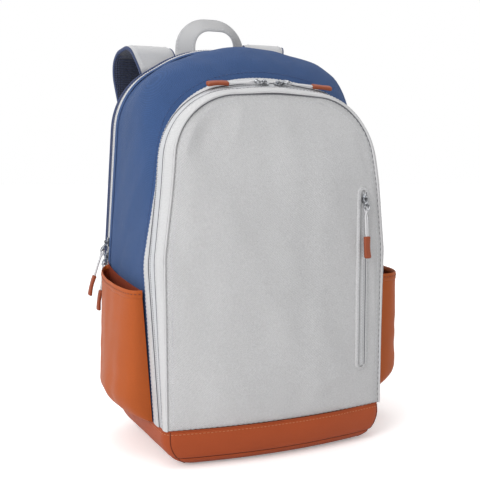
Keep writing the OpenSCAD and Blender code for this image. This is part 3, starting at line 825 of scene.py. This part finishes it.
def front_zip():
    # Name, rings and span of the tape, rows of the coil and of the dark edge line of painted shadow, side of
    # the teeth, what carries it
    forms = (("rear", REAR_RINGS, (0.74, 0.95, 6), 4.6, 1.45, 1, "shell"),
             ("front", FRONT_RINGS, (0.05, 0.40, 6), 0.4, 4.2, -1, FRONT_BEND))
    for name, rings, span, coil_row, shadow_line_row, side, body in forms:
        part = "front_zip_" + name
        grid = strip(rings, *span)
        grid = grid - normals(grid) * 0.7
        cloth(part + "_tape_cloth", grid, 0.7, [TAPE], body, "white_cloth", part + "_tape")
        line, n = row_line(grid, coil_row)
        coil(part + "_coil", line - n * 0.6, n, body, 1.2, 1.9, side)
        # A dark tube along the tape's edge: painted shadow of the gap beside the zip
        line, n = row_line(grid, shadow_line_row)
        piped(part + "_edge", [(line + n * 0.55, n)], (0.5, 0.5, 6), PAINTED_SHADOW_LINE, body, "white_cloth")


def main_zip():
    def ring(way):
        return arch_ring(mix_arch(ARCH_BACK, ARCH_GUSSET, way / SHELL_RUN), 208.2)

    grid = np.array([ring(11.5 - f) for f in np.linspace(0.2, 11.0, 8)])
    cloth("main_zip_front_tape_cloth", grid, 0.8, [WHITE], "shell", "white_cloth", "main_zip_front_tape")
    coil("main_zip_front_coil", *row_line(grid, 7), "shell", side=1)
    rows = [row_line(grid, 1.2)]
    sewn("main_zip_front_stitches", rows, FINE_STITCH, THREAD_WHITE, "shell", "white_cloth")
    grid = np.array([ring(f) for f in np.linspace(12.6, 6.3, 6)])
    grid = grid + normals(grid) * 1.15
    cloth("main_zip_front_cover", grid, 0.7, [BLUE], "shell", "blue_cloth")

    steps = np.linspace(0, 1, 8)
    grid = np.array([arch_ring(drawn_in(ARCH_BACK, f, mix(84.6, 94.2, f)), 207.0) for f in steps])
    cloth("main_zip_rear_tape_cloth", grid, 0.8, [WHITE], BACK_BEND, "white_cloth", "main_zip_rear_tape")
    coil("main_zip_rear_coil", *row_line(grid, 0), BACK_BEND, side=-1)


# Opening back

def back_cover():
    # Profiles [y, inset] of the rim above and below the end of the zip
    upper = [(93.8, 1.0), (95.5, 1.4), (97.4, 2.6), (98.6, 4.2), (99.2, 6.0), (99.0, 9.0)]
    lower = [(73.6, 0), (80, -0.6), (87, -0.4), (92.6, 0.6), (96.4, 2.4), (98.6, 5.0), (99.0, 9.0)]
    grid = np.array([arch_ring(drawn_in(ARCH_BACK, inset, y), 206.0) for y, inset in graded(upper, 14)])
    cloth("back_rim_cloth", grid, 1.6, [BLUE, LINING], BACK_BEND, "blue_cloth", "back_rim")

    steps = np.linspace(90.3, 96.0, 6)
    grid = np.array([arch_ring(drawn_in(ARCH_BACK, (y - 84.6) / 9.6 - 1.0, y), 207.0) for y in steps])
    cloth("main_zip_rear_cover", grid, 0.7, [BIND], BACK_BEND, "navy_webbing")
    line = arch_ring(drawn_in(ARCH_BACK, 0.2, 95.6), 208.0)
    piped("back_edge_piping", [(line, line - CENTRE)], (1.7, 1.7, 10), BIND, BACK_BEND, "navy_webbing")

    z = np.linspace(FOOT_Z, 207.0, 40)
    for side, name, nodes in ((-1, "left", ["lower_back_rim"]), (1, "right", [])):
        grid = np.array([np.stack([side * (flank_x(z) - inset), np.full(40, y), z], 1)
                         for y, inset in graded(lower, 16)])
        grid = softened(grid, 0.0, 0.35, 40, 0.0, 41)
        cloth("lower_back_rim_" + name, grid, 1.6, [BLUE, LINING], BACK_BEND, "blue_cloth", *nodes)

    low = np.array([[-mix(131, 143.5, (q - 43.5) / 165.5), q] for q in np.linspace(43.8, 207, 40)])
    edge = resample(np.vstack([low, half_arch(drawn_in(ARCH_BACK, 7, 0), 209.0)]), 150)
    grid = spread(edge, 98.0, 61)
    grid[..., 1] += 0.5 * wobble(grid, 60, 51)
    nodes = "upper_back_panel", "lower_back_panel"
    cloth("back_panel_cloth", grid, 1.8, [BLUE, LINING], BACK_BEND, "blue_cloth", *nodes)


def baked(obj):
    graph = bpy.context.evaluated_depsgraph_get()
    graph.update()
    return bpy.data.meshes.new_from_object(obj.evaluated_get(graph))


def mesh_points(mesh):
    flat = np.empty(3 * len(mesh.vertices), np.float32)
    mesh.vertices.foreach_get("co", flat)
    return flat.reshape(-1, 3).astype(float) / MM


def inflated(verts, faces, floor, voxel, pressure, cap):
    """Closed form blown up as cloth, held where it lies on its floor; lengths in mm."""
    scene = bpy.context.scene
    obj = add("pad_form", new_mesh("pad_form", verts, faces))
    fill = obj.modifiers.new("fill", "REMESH")
    fill.mode = "VOXEL"
    fill.voxel_size = voxel * MM
    skin = baked(obj)
    obj.modifiers.clear()
    obj.data = skin
    rest = mesh_points(skin)
    held = obj.vertex_groups.new(name="held")
    held.add([int(i) for i in np.nonzero(rest[:, 1] < floor + 1.2)[0]], 1.0, "REPLACE")
    blow = obj.modifiers.new("cloth", "CLOTH")
    blow.settings.vertex_group_mass = "held"
    blow.settings.use_pressure = True
    blow.settings.uniform_pressure_force = pressure
    blow.settings.quality = 5
    blow.settings.effector_weights.gravity = 0.0
    for step in range(1, 21):
        scene.frame_set(step)
    blown = mesh_points(baked(obj))
    scene.frame_set(1)
    move = blown - rest
    far = np.linalg.norm(move, axis=1, keepdims=True)
    rest = rest + move * np.minimum(1, cap / np.maximum(far, 1e-6))
    obj.modifiers.clear()
    skin.vertices.foreach_set("co", (rest * MM).astype(np.float32).ravel())
    fine = obj.modifiers.new("fine", "SUBSURF")
    fine.levels = 1
    done = baked(obj)
    result = mesh_points(done), [tuple(f.vertices) for f in done.polygons]
    bpy.data.objects.remove(obj)
    return result


def cushion(name, outline, rise, channels, body, node):
    """Back pad on an outline [x, z]: a blown mesh cushion with sewn channels."""
    y, thick = PAD_Y, PAD_THICK
    outline = resample(outline, 200, closed=True)
    ahead = np.roll(outline, -1, 0)
    if np.sum(outline[:, 0] * ahead[:, 1] - ahead[:, 0] * outline[:, 1]) < 0:
        outline = outline[::-1]
    mid = outline.mean(0)
    shares = np.concatenate([np.linspace(0.04, 0.90, 26), [0.93, 0.955, 0.975, 0.985, 0.992]])
    grid = np.array([mid + (outline - mid) * s for s in shares])
    d = (1 - shares)[:, None] * np.linalg.norm(outline - mid, axis=1)[None]
    crown = thick * dome(d / 14.0)
    pts = np.dstack([grid[..., 0], y + 0.75 * crown + rise * clamp(d / 60.0), grid[..., 1]])
    rows, cols = pts.shape[:2]
    under = set_at(grid[-1], y - 0.4)
    verts = np.vstack([pts.reshape(-1, 3), under])
    faces = grid_faces(rows, cols, True, 0, True) + [list(range(cols))]
    faces += grid_faces(2, cols, True, (rows - 1) * cols, True)
    faces += [[rows * cols + c for c in range(cols)][::-1]]
    verts, faces = inflated(verts, faces, y, voxel=4.0, pressure=4.0, cap=5.0)
    verts = np.array(verts)
    height = np.clip(verts[:, 1] - y, 0, thick + rise + 1.0)
    for axis, place in channels:
        height = height * (1 - 0.55 * bell((verts[:, axis] - place) / 4.2))
    rough = 0.3 * wobble(verts, 30, 61) * clamp(height / 6)
    verts[:, 1] = np.where(verts[:, 1] > y, y + height + rough, verts[:, 1])
    dress(make(name, verts, faces, [MESH]), body, "navy_mesh", node)
    line = looped(set_at(outline, y + 0.9))
    piped(name + "_binding", [(line, (0, 1, 0))], (1.3, 1.6, 8), BIND, body, "navy_webbing")


def back_pads():
    # Channels are given as an axis, 0 for x or 2 for z, and a place on it
    lower = rounded_outline(200, 144, 22, 126)
    cushion("lower_back_cushion", lower, 1.8, [(0, 0)], "shell", "lower_back_pad")
    line = whole(half_arch(drawn_in(ARCH_BACK, 36, 0), 216.0))
    left = corner_arc(line[8], line[0], (0, 216), 22, 10)
    upper = np.vstack([line[line[:, 1] > 240], left * [-1, 1], left[::-1]])
    cushion("upper_back_cushion", upper, 2.0, [(0, 0), (2, 300), (2, 372)], "back_flap", "upper_back_pad")


# Base and bottle pockets

def base():
    groove, wall, slot = 10.9, 2.6, "rust_coated_cloth"
    fine = [12.0, 11.4, groove, 10.4, 9.8, 9, 8, 7, 6, 5, 4, 3, 2.2, 1.5, 0.9, 0.45, 0.15, 0]
    levels = np.concatenate([np.linspace(SEAM_Z, 12.8, 24), fine])
    grid = np.array([base_ring(z) for z in levels])
    n = normals(grid, (0, 0, 40), True)
    z = levels[:, None]
    lift = 1.3 * np.sin(np.pi * clamp((z - groove) / (SEAM_Z - groove)))
    lift = lift - 0.9 * np.exp(-(SEAM_Z - z) / 1.5) - 1.1 * bell((z - groove) / 0.9)
    lift = lift + 0.35 * wobble(grid, 46, 71) * clamp((z - 3) / 10)
    grid = grid + n * lift[..., None]
    rows, cols = grid.shape[:2]
    inner = np.array([base_ring(q, wall) for q in (SEAM_Z, 30, 20, 12)])
    start, last = rows * cols, (rows + 3) * cols
    verts = np.vstack([grid.reshape(-1, 3), inner.reshape(-1, 3)])
    faces = grid_faces(rows, cols, True) + [range(start - cols, start)]
    faces += grid_faces(4, cols, True, start, True)
    faces += [[c, start + c, start + (c + 1) % cols, (c + 1) % cols] for c in range(cols)]
    faces += [range(last, last + cols)]
    dress(make("base_boot_cloth", verts, faces, [RUST]), "shell", slot, "base_boot", "base_panel")
    rows = [(looped(mix(grid[2], grid[3], 0.3)), looped(mix(n[2], n[3], 0.3)))]
    sewn("base_stitches", rows, (3.0, 1.5, 0.42), THREAD_TAN, "shell", slot)
    # A seam down each front corner and one along the groove
    corner_x, corner_y = 136, -104
    seams = Heap()
    for side in (-1, 1):
        c = int(np.argmin(np.hypot(grid[0, :, 0] - side * corner_x, grid[0, :, 1] - corner_y)))
        tube(seams, grid[:36, c] + n[:36, c] * 0.1, n[:36, c], 0.45, 0.55, 6)
    low = int(np.argmin(np.abs(levels - groove)))
    tube(seams, looped(grid[low]), looped(n[low]), 0.7, 0.75, 6)
    dress(seams.done("base_seam_lines", SEAM_RUST), "shell", slot)
    rows = [(looped(grid[0]) + [0, 0, 0.3], looped(n[0]))]
    piped("base_top_turn", rows, (1.1, 0.7, 8), RUST, "shell", slot)


def swell(v, mouth):
    """Fullness of a pocket from its foot, at 0, to its mouth, at 1."""
    return 1.05 * np.where(v < 0.2, dome(v / 0.2), mix(1, mouth, (v - 0.2) / 0.8))


def side_x(z):
    return flank_x(z) + 1.4


def pocket_rim(u):
    return 190 + 14 * u ** 2


def pocket_grid(out, mouth, skew, square, side):
    """Outer cloth of a pocket that stands out from the flank, from front to back and from foot to rim."""
    u = 0.5 - 0.5 * np.cos(np.linspace(0, np.pi, 81))
    v = np.concatenate([np.linspace(0, 0.2, 16)[:-1] ** 1.5 / 0.2 ** 0.5, np.linspace(0.2, 1, 34)])
    uu, vv = np.meshgrid(u, v)
    z = mix(POCKET_FOOT, pocket_rim(uu), vv)
    full = clamp(np.sin(np.pi * uu ** skew)) ** square
    x = side_x(z) + out * full * swell(vv, mouth) * mix(1.1, 0.9, uu)
    grid = np.dstack([side * x, POCKET_Y - POCKET_REACH * np.cos(np.pi * uu), z])
    hold = clamp(np.sin(np.pi * uu) * 2.2) * clamp(vv / 0.15)
    fold = 0.8 * wobble(grid * [1, 1, 0.35], 34, 81 + side) + 0.4 * wobble(grid, 24, 85 + side)
    crease = 0.45 * np.sin(grid[..., 1] / 6.0 + 1.4 * wobble(grid, 45, 87)) * bell((vv - 0.12) / 0.10)
    lift = (fold * mix(1.0, 0.35, vv) + crease) * hold
    return grid + normals(grid, POCKET_MID) * lift[..., None]


def pockets():
    # How far each stands out, fullness of the mouth, lean to the back and squareness
    forms = ((-1, "left", (33, 0.56, 1.0, 0.6)), (1, "right", (58, 0.84, 0.82, 0.75)))
    # Section of the hem: outward and upward from the rim
    hem = ((0.15, -2.6), (0.6, -2.2), (0.7, 0.5), (0.7, 4.4),
           (0.5, 6.2), (-0.2, 7.0), (-1.2, 6.3), (-1.7, 2.0))
    u = np.linspace(0.015, 0.985, 50)
    slot = "rust_coated_cloth"
    for side, name, form in forms:
        part = name + "_pocket"
        grid = pocket_grid(*form, side)
        # The pocket's inner face takes the darker rust: painted shade inside the pocket
        cloth(part + "_cloth", grid, 1.0, [POCKET, RUST_SHADED_INSIDE], "shell", slot, part, centre=POCKET_MID)
        rim, out = grid[-1], normals(grid, POCKET_MID)[-1]
        turned = np.array([rim + out * dn + [0, 0, dz] for dn, dz in hem])
        cloth(part + "_hem", turned, 0.5, [POCKET], "shell", slot, part + "_binding", centre=POCKET_MID)
        line = rim[2:-2] + out[2:-2] * 0.72 + [0, 0, 2.6]
        sewn(part + "_stitches", [(line, out[2:-2])], (3.2, 1.6, 0.42), THREAD_RUST, "shell", slot)
        # Lining behind the pocket in the darker rust: painted shade inside the pocket
        lining = []
        for v in np.linspace(0.0, 1, 30):
            z = mix(60, pocket_rim(u) + 6.5 + 5.5 * u ** 3, v)
            lining.append(np.stack([side * (side_x(z) + 1.0), POCKET_Y - 65 * np.cos(np.pi * u), z], 1))
        cloth(part + "_lining", np.array(lining), 0.5, [RUST_SHADED_INSIDE], "shell", slot, centre=POCKET_MID)


# Drop front

def panel_patch():
    """Grid [x, z] that fills the panel's outline, and that outline."""
    ring = whole(half_arch(drawn_in(ARCH_SEAM, PANEL_INSET, PANEL_Y), PANEL_FOOT))
    z = ring[:, 1]
    cut = int(np.argmin(np.abs(z[:len(z) // 2] - 396)))
    left = resample(ring[:cut + 1], 110)
    right = left * [-1, 1]
    top = resample(ring[cut:len(ring) - cut], 90)
    low = np.stack([np.linspace(left[0, 0], right[0, 0], 90), np.full(90, left[0, 1])], 1)
    v = np.linspace(0, 1, 110)[:, None, None]
    u = np.linspace(0, 1, 90)[None, :, None]
    patch = (1 - v) * low[None] + v * top[None] + (1 - u) * left[:, None] + u * right[:, None]
    corners = (1 - u) * (1 - v) * low[0] + u * (1 - v) * low[-1] + (1 - u) * v * top[0] + u * v * top[-1]
    return patch - corners, np.vstack([left, top[1:-1], right[::-1], low[::-1][1:-1]])


# Soft folds of the front cloth: ends [x, z, x, z], height and width
FOLDS = [(-96, 402, -122, 335, 2.0, 7), (-70, 404, -104, 342, -1.3, 8), (-44, 408, -60, 352, 1.2, 7),
         (118, 330, 132, 262, 1.6, 5), (104, 376, 128, 300, -1.2, 7), (122, 236, 130, 150, 1.3, 5),
         (-118, 120, -60, 66, 1.2, 9), (30, 70, 96, 96, 1.1, 8)]


def front_panel():
    patch, edge = panel_patch()
    flat = patch.reshape(-1, 2)
    d = np.min(np.linalg.norm(flat[:, None] - edge[None, ::2], axis=2), 1).reshape(patch.shape[:2])
    x, z = patch[..., 0], patch[..., 1]
    grid = np.dstack([x, front_y(x, z), z])
    lift = -PANEL_DIP * np.exp(-d / 4.0)
    calm = clamp((np.abs(x - CHEST_X) - 12) / 30)
    drape = 1.3 * wobble(grid, 95, 91) + 0.5 * wobble(grid, 40, 92)
    lift += drape * clamp(d / 22) * mix(0.15, 1, calm)
    around = np.arctan2(z - 230, x) * 180
    lift += 0.06 * np.sin(around / 1.15) * np.exp(-d / 7.0)
    for x0, z0, x1, z1, high, wide in FOLDS:
        step = np.array([x1 - x0, z1 - z0], float)
        t = clamp(((x - x0) * step[0] + (z - z0) * step[1]) / (step @ step))
        gap = np.hypot(x - x0 - t * step[0], z - z0 - t * step[1])
        lift += high * np.sin(math.pi * t) * bell(gap / wide) * clamp(d / 10)
    grid[..., 1] -= lift
    mats = [GREY, LINING]
    cloth("front_panel_cloth", grid, 2.0, mats, FRONT_BEND, "grey_cloth", "front_panel", centre=FRONT_MID)
    rows = [(panel_line(6.0), (0.0, -1.0, 0.0))]
    sewn("front_panel_stitches", rows, (3.2, 1.5, 0.34), THREAD_WHITE, FRONT_BEND, "grey_cloth")


def chest_zip():
    side = np.cross([0, 0, -1.0], CHEST_OUT)
    o = np.array([CHEST_X, CHEST_Y, CHEST_TOP])

    def at(across, drop, rise):
        return o + side * across + np.array([0, 0, -1.0]) * drop + CHEST_OUT * rise

    def stadium(w, drop, length):
        pts = []
        for turn, mid in ((180, drop + w / 2), (0, drop + length - w / 2)):
            for q in np.radians(np.linspace(turn, turn + 180, 20)):
                pts.append((w / 2 * math.cos(q), mid + w / 2 * math.sin(q)))
        return resample(np.array(pts), 240, closed=True)

    body, wide, long = "front_flap", 17, 220
    # Section of the welt: width and rise
    rims = [(18.4, -0.4), (17.4, 0.9), (16.2, 1.5), (12.4, 2.0), (10.4, 2.1), (9.6, 1.6), (9.4, 0.4)]
    verts = []
    for w, rise in rims:
        verts += [at(a, d, rise) for a, d in stadium(w, -4 + (wide - w) / 2, long - (wide - w))]
    faces = grid_faces(len(rims), 240, True, 0, True)
    dress(make("chest_welt_cloth", verts, faces, [GREY], sharp=80), body, "grey_cloth", "chest_welt")
    tape = np.array([[at(a, d, 1.2) for d in np.linspace(1, 211, 80)] for a in np.linspace(-6.5, 6.5, 8)])
    cloth("chest_zip_tape_cloth", tape, 0.5, [GREY], body, "white_cloth", "chest_zip_tape", centre=FRONT_MID)
    line = np.array([at(0, d, 1.3) for d in np.linspace(2, 210, 90)])
    coil("chest_zip_coil", line, np.tile(CHEST_OUT, (90, 1)), body)
    loop = looped(np.array([at(a, d, 1.75) for a, d in stadium(14.6, -2.8, 217.6)]))
    sewn("chest_welt_stitches", [(loop, CHEST_OUT)], (2.8, 1.5, 0.3), THREAD_WHITE, body, "grey_cloth")
    # Dark tubes along both sides of the zip's opening, wider on the left: painted shadow of its edges
    shadow_slit = Heap()
    for across, half in ((-4.5, 0.75), (4.5, 0.4)):
        line = np.array([at(across, d, 1.45) for d in np.linspace(0, 212, 60)])
        tube(shadow_slit, line, CHEST_OUT, 0.35, half, 6)
    dress(shadow_slit.done("chest_zip_edges", PAINTED_SHADOW_LINE), body, "grey_cloth")

    bag_x, bag_wide = 36, 90
    x, z = np.meshgrid(np.linspace(bag_x, bag_x + bag_wide, 30), np.linspace(90, 308, 50))
    bag = np.dstack([x, front_y(x, 200.0) + 6 + 3.0 * np.sin(math.pi * (x - bag_x) / bag_wide), z])
    bag[..., 1] += 0.8 * wobble(bag, 40, 97)
    before = (0, -300, 200)
    cloth("chest_pocket_bag", bag, 0.6, [LINING], body, "navy_lining", "chest_pocket_lining", centre=before)


# Inside

def inside():
    edge = resample(half_arch(drawn_in(ARCH_GUSSET, 5, 0), 44.0), 90)
    grid = spread(edge, -56 + 0.3 * lean_at(edge[:, 1]), 60)
    grid[..., 1] += 0.8 * wobble(grid, 70, 101) * (1 - np.linspace(-1, 1, 60) ** 2)
    cloth("pocket_divider_cloth", grid, 0.9, [LINING], "shell", "navy_lining", "pocket_divider")

    # Racket divider: middle of its height, place along y, half thickness and pitch of its quilting
    mid, y, half, pitch = np.array([0, 188.0]), 31, 3.0, 54
    outline = resample(rounded_outline(216, 356, 30, mid[1]), 160, closed=True)
    shares = np.concatenate([np.linspace(0, 0.9, 14), [0.94, 0.97, 0.99, 1.0]])
    rings = []
    for sign, steps in ((1, shares), (-1, shares[::-1][1:])):
        for s in steps:
            p = mid + (outline - mid) * s
            d = (1 - s) * np.linalg.norm(outline - mid, axis=1)
            t = half * dome(d / 9)
            quilt = 0.5 * np.cos(p[:, 0] * 2 * math.pi / pitch) * clamp(d / 12)
            rings.append(set_at(p, y + sign * (t + quilt * sign)))
    obj = make("racket_divider_pad", np.vstack(rings), grid_faces(len(rings), 160, True), [LINING])
    dress(obj, "shell", "navy_lining", "racket_divider")


# Straps and handle

def strap_line(rise):
    """Side view [y, z] of a strap, from its sewn end over the shoulder and down."""
    foot, top, turn, tip = (103.2, 452), (111.5, 489 + rise), (147, 480 + rise), (147, 205)
    bends = corner_arc(foot, top, turn, 13, 20), corner_arc(top, turn, tip, 16, 20)
    return np.vstack([[foot], *bends, [tip]])


# Middle and half width of a strap at shares of its run
STRAP_MID = (0, 0.1, 0.2, 0.26, 0.34, 0.4, 0.5, 1), (72, 81, 90, 93.5, 89.5, 86, 84, 84)
STRAP_HALF = (0, 0.1, 0.2, 0.4, 1), (26, 30, 31, 29, 25)


def smooth(values, n=7):
    pad = np.pad(values, (n, n), mode="edge")
    return np.convolve(pad, np.ones(2 * n + 1) / (2 * n + 1), mode="valid")


def shoulder_strap(side, name, rise):
    # Half thickness of the outer face and of the padded side
    face, pad = 4.2, 4.6
    cx, cd = squared(56, 0.35, 0.75)
    line = resample(strap_line(rise), 170)
    ahead = unit_rows(np.gradient(line, axis=0))
    out = np.stack([-ahead[:, 1], ahead[:, 0]], 1)
    run = path_run(line)
    share = run / run[-1]
    mid = smooth(np.interp(share, *STRAP_MID))
    half = smooth(np.interp(share, *STRAP_HALF)) - 0.6
    end = np.minimum(1.0, 0.35 + np.minimum(run, run[-1] - run) / 10)
    wave = 0.35 * np.sin(run / 9.0) + 0.3 * np.sin(run / 17.0 + side)
    mid, half, end = mid[:, None], half[:, None], end[:, None]

    def at(x, lift):
        """Points at x from the middle of the back, lifted off the strap's mid-surface."""
        y, z = line[:, :1] + out[:, :1] * lift, line[:, 1:] + out[:, 1:] * lift
        return np.dstack(np.broadcast_arrays(side * x, y, z))

    rings = at(mid + half * cx, np.where(cd > 0, face * cd, np.outer(pad + 0.5 * wave, cd)) * end)
    verts, faces = loft(rings)
    if side > 0:
        faces = [f[::-1] for f in faces]
    index = ([0] * 28 + [1] * 28) * (len(line) - 1) + [1, 1]
    obj = make(name + "_shoulder_strap", verts, faces, [STRAP, MESH], index, 70)
    dress(obj, "back_flap", "grey_cloth", name + "_strap_face", name + "_strap_pad")
    hints = np.column_stack([np.zeros(len(line)), out])
    rows = [(at(mid + s * half, 0.3)[:, 0], hints) for s in (-1, 1)]
    piped(name + "_strap_binding", rows, (2.5, 1.3, 10), BIND, "back_flap", "navy_webbing")
    rows = [(at(mid + s * (half - 7), 4.1 * end)[3:-3, 0], hints[3:-3]) for s in (-1, 1)]
    sewn(name + "_strap_stitches", rows, (3.2, 1.6, 0.36), THREAD_WHITE, "back_flap", "grey_cloth")


def strap_end(side, name):
    """Lower webbing between the base and the strap's lock, and the patch that holds it."""
    foot = np.array([side * 121.0, 102.6, 67.5])
    lock = np.array([side * 84.0, 147.0, 172.0])
    along = unit(lock - foot)
    flat = unit([along[2], 0, -along[0]])
    face = np.cross(flat, along)
    steps = np.linspace(0, 1, 60)[:, None]
    sag = 2.0 * np.sin(math.pi * steps) * (1 if face[1] > 0 else -1)
    line = mix(foot - along * 6, lock + along * 8, steps) + face * sag
    grid = np.array([line + flat * w for w in np.linspace(-12.3, 12.3, 12)])
    bend = ("shell", "back_flap", tuple(foot * MM), tuple(lock * MM))
    part, node, mid = name + "_webbing_band", name + "_lower_webbing", (0, 0, 120)
    cloth(part, grid, 1.5, [NAVY_WEB], bend, "navy_webbing", node, centre=mid)

    tab = []
    for z, inner, outer in ((48, -9, 15), (52, -9.4, 14.6), (58, -11, 14), (64, -12.6, 13.2), (66, -13, 13)):
        tab.append([[foot[0] + side * x, 101.4, z] for x in np.linspace(inner, outer, 14)])
    part, node, mid = name + "_anchor_patch", name + "_strap_anchor", (0, 0, 60)
    cloth(part, np.array(tab), 2.0, [RUST], "shell", "rust_coated_cloth", node, centre=mid)


def straps():
    for side, name, rise in ((-1, "left", 0), (1, "right", 10)):
        shoulder_strap(side, name, rise)
        strap_end(side, name)


def handle():
    side, neck, top, y = 38.0, 485.5, 519, 100.4
    # Half width and half thickness of the band, and its stitched rows from the middle
    half_wide, half_thick, row_at = 13.7, 1.5, 10.8
    half = np.vstack([[(-side, neck)], corner_arc((-side, neck), (-side, top), (0, top), 31, 24), [(0, top)]])
    foot = np.stack([np.full(12, -side), np.linspace(462, 485, 12)], 1)
    line = np.vstack([foot, resample(whole(half), 121), foot[::-1] * [-1, 1]])
    t = unit_rows(np.gradient(line, axis=0))
    section = list(zip(*squared(36, 0.3, 0.7)))
    rings, hints, rows = [], [], [[], []]
    for (x, z), (tx, tz) in zip(line, t):
        # The band twists from flat on the back to slanting over the top
        a = math.radians(mix(38, 50, float(ease((z - neck) / 32))) * float(ease((z - 464) / 21.5)))
        wide = np.array([tz * math.cos(a), -math.sin(a), -tx * math.cos(a)])
        out = np.cross(wide, [tx, 0, tz])
        p = np.array([x, y, z])
        rings.append([p + wide * half_wide * q + out * half_thick * r for q, r in section])
        hints.append(out)
        for row, s in zip(rows, (-1, 1)):
            row.append(p + wide * s * row_at + out * 1.45)
    # The darker handle webbing carries painted shade
    obj = make("haul_handle_band", *loft(rings), [HANDLE_SHADED_WEBBING], sharp=70)
    dress(obj, LOOP_BEND, "grey_cloth", "haul_handle", "handle_foot_tabs")
    rows = [(row, hints) for row in rows]
    sewn("haul_handle_stitches", rows, FINE_STITCH, THREAD_WHITE, LOOP_BEND, "grey_cloth")


# Zip pulls: sliders and tabs keep their solids, rings, cords and sleeves are made here

def pull_frame(o, out, along, lift):
    """Place of a pull's hinge and its axes across, along and out, lifted by an angle."""
    m = np.stack([np.cross(along, out), along, out], 1)
    a = math.radians(lift)
    tilt = np.array([[1, 0, 0], [0, math.cos(a), -math.sin(a)], [0, math.sin(a), math.cos(a)]])
    return np.asarray(o) + m @ np.array([0, 0, 2.9]), m @ tilt


def pull_frames():
    o = np.array([CHEST_X, CHEST_Y, 297.0]) + CHEST_OUT * 1.6
    frames = {"chest": pull_frame(o, CHEST_OUT, np.array([0, 0, -1.0]), 4.5)}
    # The front sliders ride on the crown arc of the front zip
    (x, z, _), (crown_z, crown_r) = ARCH_FRONT_ZIP[4:]
    c = crown_z - crown_r / math.cos(math.atan((crown_z - z) / x))
    tilt = math.radians(24.5)
    for name, way in (("front_left", -1), ("front_right", 1)):
        a = math.radians(1.5 * way)
        o = np.array([crown_r * math.sin(a), -76.5, c + crown_r * math.cos(a)])
        up = np.array([math.sin(a) * math.cos(tilt), -math.sin(tilt), math.cos(a) * math.cos(tilt)])
        frames[name] = pull_frame(o, up, way * np.array([math.cos(a), 0, -math.sin(a)]), -2.5)
    # The main sliders ride on the straight left side of the main zip
    (waist_x, waist_z, _), (x, z, _) = ARCH_BACK[3:5]
    slope = (waist_x - x) / (z - waist_z)
    lean = math.atan(slope)
    up = np.array([-math.cos(lean), 0, math.sin(lean)])
    down = np.array([-math.sin(lean), 0, -math.cos(lean)])
    for name, z, lift in (("main_lower", 221, 6), ("main_upper", 238, 20)):
        o = np.array([-(waist_x - slope * (z - waist_z)), MAIN_ZIP_Y, z])
        frames[name] = pull_frame(o, up, down, lift)
    return frames


def cord_path():
    """Loop of cord in the tab's eye, whose two strands turn side by side on the way to the sleeve."""
    eye, r, apart = 12, 1.7, 1.25
    turn = np.radians(np.linspace(-90, 90, 17))
    bend = np.stack([np.zeros(17), eye - r * np.cos(turn), r * np.sin(turn)], 1)
    y = np.linspace(eye, 47, 60)[1:]
    beside = ease((y - 13) / 9)
    strand = np.stack([apart * beside, y, r * (1 - beside)], 1)
    return np.vstack([strand[::-1] * [-1, 1, -1], bend, strand])


def sleeve_rings():
    """Moulded sleeve: a flat bar with blunt tips, a groove near the cord and a slight bend."""
    start, long, half_wide, half_high = 45, 26, 4.2, 2.3
    cx, cz = squared(28, 0.6, 0.6)
    rings = []
    for s in np.linspace(0, 1, 34):
        flare = 1 + 0.06 * math.cos(2 * math.pi * s)
        tip = math.sqrt(max(1 - max(0, (abs(s - 0.5) - 0.42) / 0.08) ** 2, 0.02))
        tip = 0.55 + 0.45 * tip
        groove = 0.25 * bell((s - 0.14) / 0.025)
        x = (half_wide * flare * tip - groove) * cx + 1.1 * math.sin(math.pi * s)
        z = (half_high * flare * tip - groove) * cz + 0.5 * math.sin(math.pi * s)
        rings.append(np.stack([x, np.full(28, start + long * s), z], 1))
    return rings


def pull(name, o, m, droop):
    body = name + "_pull"

    def place(p):
        p = np.array(p, float)
        p[:, 2] -= droop * np.clip((p[:, 1] - 14) / 57, 0, 2) ** 1.6
        return o + p @ m.T

    # Small metal ring between the tab and the cord
    turn = np.linspace(0, 2 * math.pi, 33)
    line = np.stack([3.3 * np.sin(turn), 9.6 + 3.9 * np.cos(turn), 1.9 + 0.5 * np.cos(turn)], 1)
    piped(name + "_pull_ring", [(place(line), m[:, 2])], (0.9, 0.95, 8), METAL, body, "zip_metal")
    line = place(cord_path())
    _, n, b = line_frames(line, m[:, 0])
    a = circle(10)
    rings = []
    for k, p in enumerate(line):
        r = 1.15 + 0.08 * np.sin(3 * a + k * 1.1)
        rings.append(p + np.outer(r * np.cos(a), n[k]) + np.outer(r * np.sin(a), b[k]))
    dress(make(name + "_braided_cord", *loft(rings), [CORD], sharp=60), body, "pull_cord", name + "_cord")
    verts, faces = loft(sleeve_rings())
    obj = make(name + "_moulded_sleeve", place(verts), faces, [SLEEVE], sharp=60)
    dress(obj, body, "pull_sleeve", name + "_sleeve")


def pulls():
    droops = {"main_upper": 6.5, "main_lower": 1.5}
    for name, (o, m) in pull_frames().items():
        pull(name, o, m, droops.get(name, 0.0))


def finish_solids():
    kinds = {"_slider": METAL, "_tab": METAL, "_ladder_lock": PLASTIC, "base_board": LINING}
    for obj in bpy.data.objects:
        for tail, mat in kinds.items():
            if obj.type == "MESH" and obj.name.endswith(tail):
                for k in range(len(obj.data.materials)):
                    obj.data.materials[k] = mat


studio()
body_shell()
gussets()
front_zip()
main_zip()
back_cover()
back_pads()
base()
pockets()
front_panel()
chest_zip()
inside()
straps()
handle()
pulls()
finish_solids()
